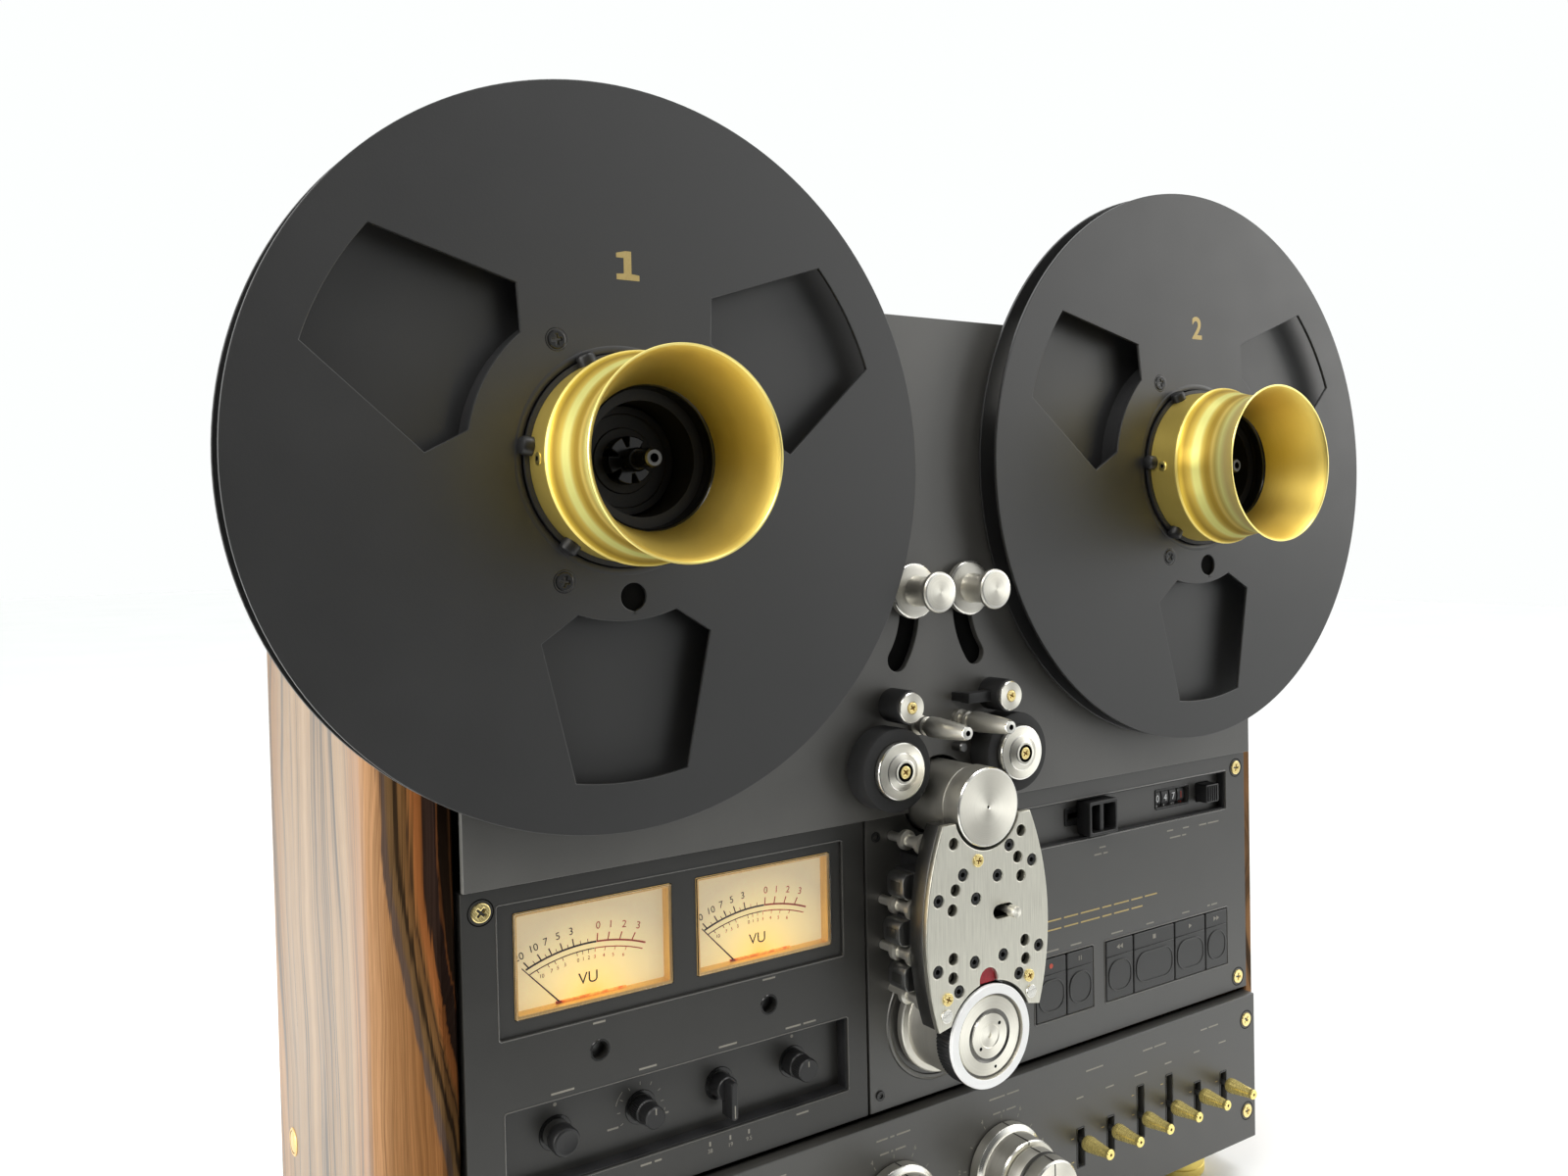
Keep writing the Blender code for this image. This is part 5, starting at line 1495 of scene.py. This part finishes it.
def make_level_knobs():
    rear = [
        (4.0, -5.3), (19.6, -5.3), (20.0, -5.8), (20.0, -10.4, "silver_bright"), (19.5, -11.0),
        (18.2, -11.6, "silver_spun"), (17.6, -12.4, "silver_drum"), (17.4, -22.2, "silver_bright"),
        (16.9, -22.9, "silver_spun"), (4.0, -23.0),
    ]
    front = [
        (3.6, 12.0), (3.6, -23.3), (15.0, -23.3, "silver_bright"), (15.4, -23.8, "silver_drum"),
        (15.2, -30.2, "dark_spun"), (14.8, -31.0), (14.8, -31.6, "silver_bright"),
        (15.0, -32.4, "silver_drum"), (14.5, -38.4, "silver_bright"), (13.8, -39.2, "silver_spun"),
        (0, -39.2),
    ]
    for name, x in zip(("output", "line"), KNOB_X):
        knob = Piece(name + "_knob_rear_ring", (x, 0, LEVEL_Z))
        knob.turn((x, 0, LEVEL_Z), rear, "silver_drum", closed=True)
        mark_knob(knob, x, *REAR_MARKS)
        knob.done(name + "_knob_rear", "silver", name + "_knob_rear")
        knob = Piece(name + "_knob_front_cap", (x, 0, LEVEL_Z))
        knob.turn((x, 0, LEVEL_Z), front, "silver_drum")
        mark_knob(knob, x, *FRONT_MARKS)
        knob.done(name + "_knob_front", "silver", name + "_knob_front")
    x = KNOB_X[2]
    knob = Piece("mic_level_knob_cap", (x, 0, LEVEL_Z))
    knob.turn((x, 0, LEVEL_Z), rear, "silver_drum")
    knob.turn((x, 0, LEVEL_Z), front, "silver_drum")
    mark_knob(knob, x, *FRONT_MARKS)
    mark_knob(knob, x, *REAR_MARKS)
    knob.done("mic_level_knob", "silver", "mic_level_knob")


def mark_knob(knob, x, face, reach, lines):
    """A dark index line over a knob's face and along its top."""
    knob.stroke((x, LEVEL_Z + reach[0]), (x, LEVEL_Z + reach[1]), 0.7, face - 0.04, "ink_black")
    for depths, heights in lines:
        knob.box((x - 0.35, x + 0.35), depths, (LEVEL_Z + heights[0], LEVEL_Z + heights[1]), "ink_black")
    for c, s in ((1, 0), (0, -1), (-1, 0)):
        start = (x + (reach[1] - 1.2) * c, LEVEL_Z + (reach[1] - 1.2) * s)
        knob.stroke(start, (x + reach[1] * c, LEVEL_Z + reach[1] * s), 0.5, face - 0.04, "ink_black")


def make_levers():
    # The hole in the tip is painted shade in dark brass.
    profile = [
        (0, 2.5), (2.5, 2.5), (2.5, -2.5), (1.4, -3.5), (1.4, -24.4, "gold_polished"), (2.4, -24.8),
        (3.5, -25.8), (3.8, -26.8), (3.8, -28.4), (3.6, -29.6), (2.35, -39.2), (2.3, -39.9),
        (2.5, -40.3), (2.5, -41.1), (2.2, -41.5), (0.7, -41.5, "brass_painted_shade"), (0.7, -41.1), (0, -41.1),
    ]
    for index, x in enumerate(LEVER_X):
        name = "lever_switch_%d" % (index + 1)
        lever = Piece(name + "_bat", (x, 17.0, LEVER_Z))
        lever.turn((x, 17.0, LEVER_Z), profile, "steel_zinc", 40)
        lever.done(name, "gold", name)


# Setting


def make_stage():
    bpy.ops.mesh.primitive_plane_add(size=9.0, location=(0, 4.1, 0))
    floor = bpy.context.object
    floor.name = "studio_floor"
    floor.data.materials.append(ALL["floor_paper"])
    world = bpy.context.scene.world or bpy.data.worlds.new("studio")
    bpy.context.scene.world = world
    world.use_nodes = True
    tree = world.node_tree
    sky = tree.nodes["Background"]
    aim = tree.nodes.new("ShaderNodeTexCoord")
    parts = tree.nodes.new("ShaderNodeSeparateXYZ")
    tree.links.new(aim.outputs["Generated"], parts.inputs[0])

    def graded(output, low, high, dim, bright):
        made = tree.nodes.new("ShaderNodeMapRange")
        made.interpolation_type = "SMOOTHSTEP"
        for key, value in (("From Min", low), ("From Max", high), ("To Min", dim), ("To Max", bright)):
            made.inputs[key].default_value = value
        tree.links.new(parts.outputs[output], made.inputs["Value"])
        return made.outputs[0]

    def combined(operation, first, second):
        made = tree.nodes.new("ShaderNodeMath")
        made.operation = operation
        tree.links.new(first, made.inputs[0])
        tree.links.new(second, made.inputs[1])
        return made.outputs[0]

    sides = combined("MAXIMUM", graded(0, 0.05, 0.75, 0.10, 1.25), graded(1, -0.5, 0.25, 0.10, 1.1))
    room = combined("MULTIPLY", sides, graded(2, -0.6, 0.7, 0.45, 1.35))
    path = tree.nodes.new("ShaderNodeLightPath")
    seen = tree.nodes.new("ShaderNodeMix")
    tree.links.new(path.outputs["Is Camera Ray"], seen.inputs[0])
    tree.links.new(room, seen.inputs[2])
    seen.inputs[3].default_value = 1.0
    tree.links.new(seen.outputs[0], sky.inputs["Strength"])
    sky.inputs["Color"].default_value = (0.985, 1.0, 0.995, 1.0)


def area_light(name, place, target, size, power, colour=(1, 1, 1)):
    data = bpy.data.lights.new(name, "AREA")
    data.shape = "RECTANGLE"
    data.size = size[0]
    data.size_y = size[1]
    data.energy = power
    data.color = colour
    lamp = linked(name, data)
    lamp.location = place
    aim = Vector(target) - Vector(place)
    lamp.rotation_euler = aim.to_track_quat("-Z", "Y").to_euler()


def make_light():
    area_light("window_light", (-1.3, -0.9, 1.7), (0, 0, 0.25), (0.8, 0.8), 15.0, (1.0, 0.985, 0.96))
    area_light("ceiling_light", (0.4, -0.7, 2.1), (0, 0, 0.3), (0.6, 0.6), 11.0)
    area_light("wall_light", (-1.6, 0.05, 0.65), (-0.15, -0.1, 0.4), (0.7, 0.9), 18.0, (1.0, 0.985, 0.95))
    area_light("side_light", (1.7, -0.9, 0.9), (0, 0, 0.3), (0.5, 1.1), 5.0, (1.0, 0.97, 0.93))


def make_camera():
    data = bpy.data.cameras.new("camera")
    data.sensor_width = 36.0
    data.lens = 30.548
    data.shift_x = -0.0416
    data.shift_y = -0.0204
    data.clip_start = 0.01
    camera = linked("camera", data)
    yaw = radians(35.69)
    pitch = radians(-1.51)
    roll = radians(-1.11)
    ahead = Vector((sin(yaw) * cos(pitch), cos(yaw) * cos(pitch), sin(pitch)))
    level = Vector((cos(yaw), -sin(yaw), 0))
    above = level.cross(ahead)
    right = level * cos(roll) + above * sin(roll)
    up = above * cos(roll) - level * sin(roll)
    turn = Matrix((right, up, -ahead)).transposed()
    camera.matrix_world = Matrix.Translation((-0.36912, -0.52644, 0.35837)) @ turn.to_4x4()
    bpy.context.scene.camera = camera


def main():
    make_finishes()
    make_camera()
    make_cabinet()
    make_deck_panel()
    make_meter_panel()
    make_head_base()
    make_control_panel()
    make_amplifier_panel()
    for hand, side, turn, thread, nub in (("left", -1, 0.5, -87.0, 113.0), ("right", 1, 3.5, -82.0, 117.0)):
        make_reel(hand, side, turn, thread)
        make_adapter(hand, side, nub)
        make_reel_table(hand, side)
        make_tension(hand, side)
        make_idler(hand, side)
        make_pinch(hand, side)
    make_capstan()
    make_reverser()
    make_head_block()
    make_meters()
    make_tray_controls()
    make_counter_controls()
    make_buttons()
    make_level_knobs()
    make_levers()
    make_stage()
    make_light()
    bpy.context.scene.view_settings.view_transform = "Standard"


main()
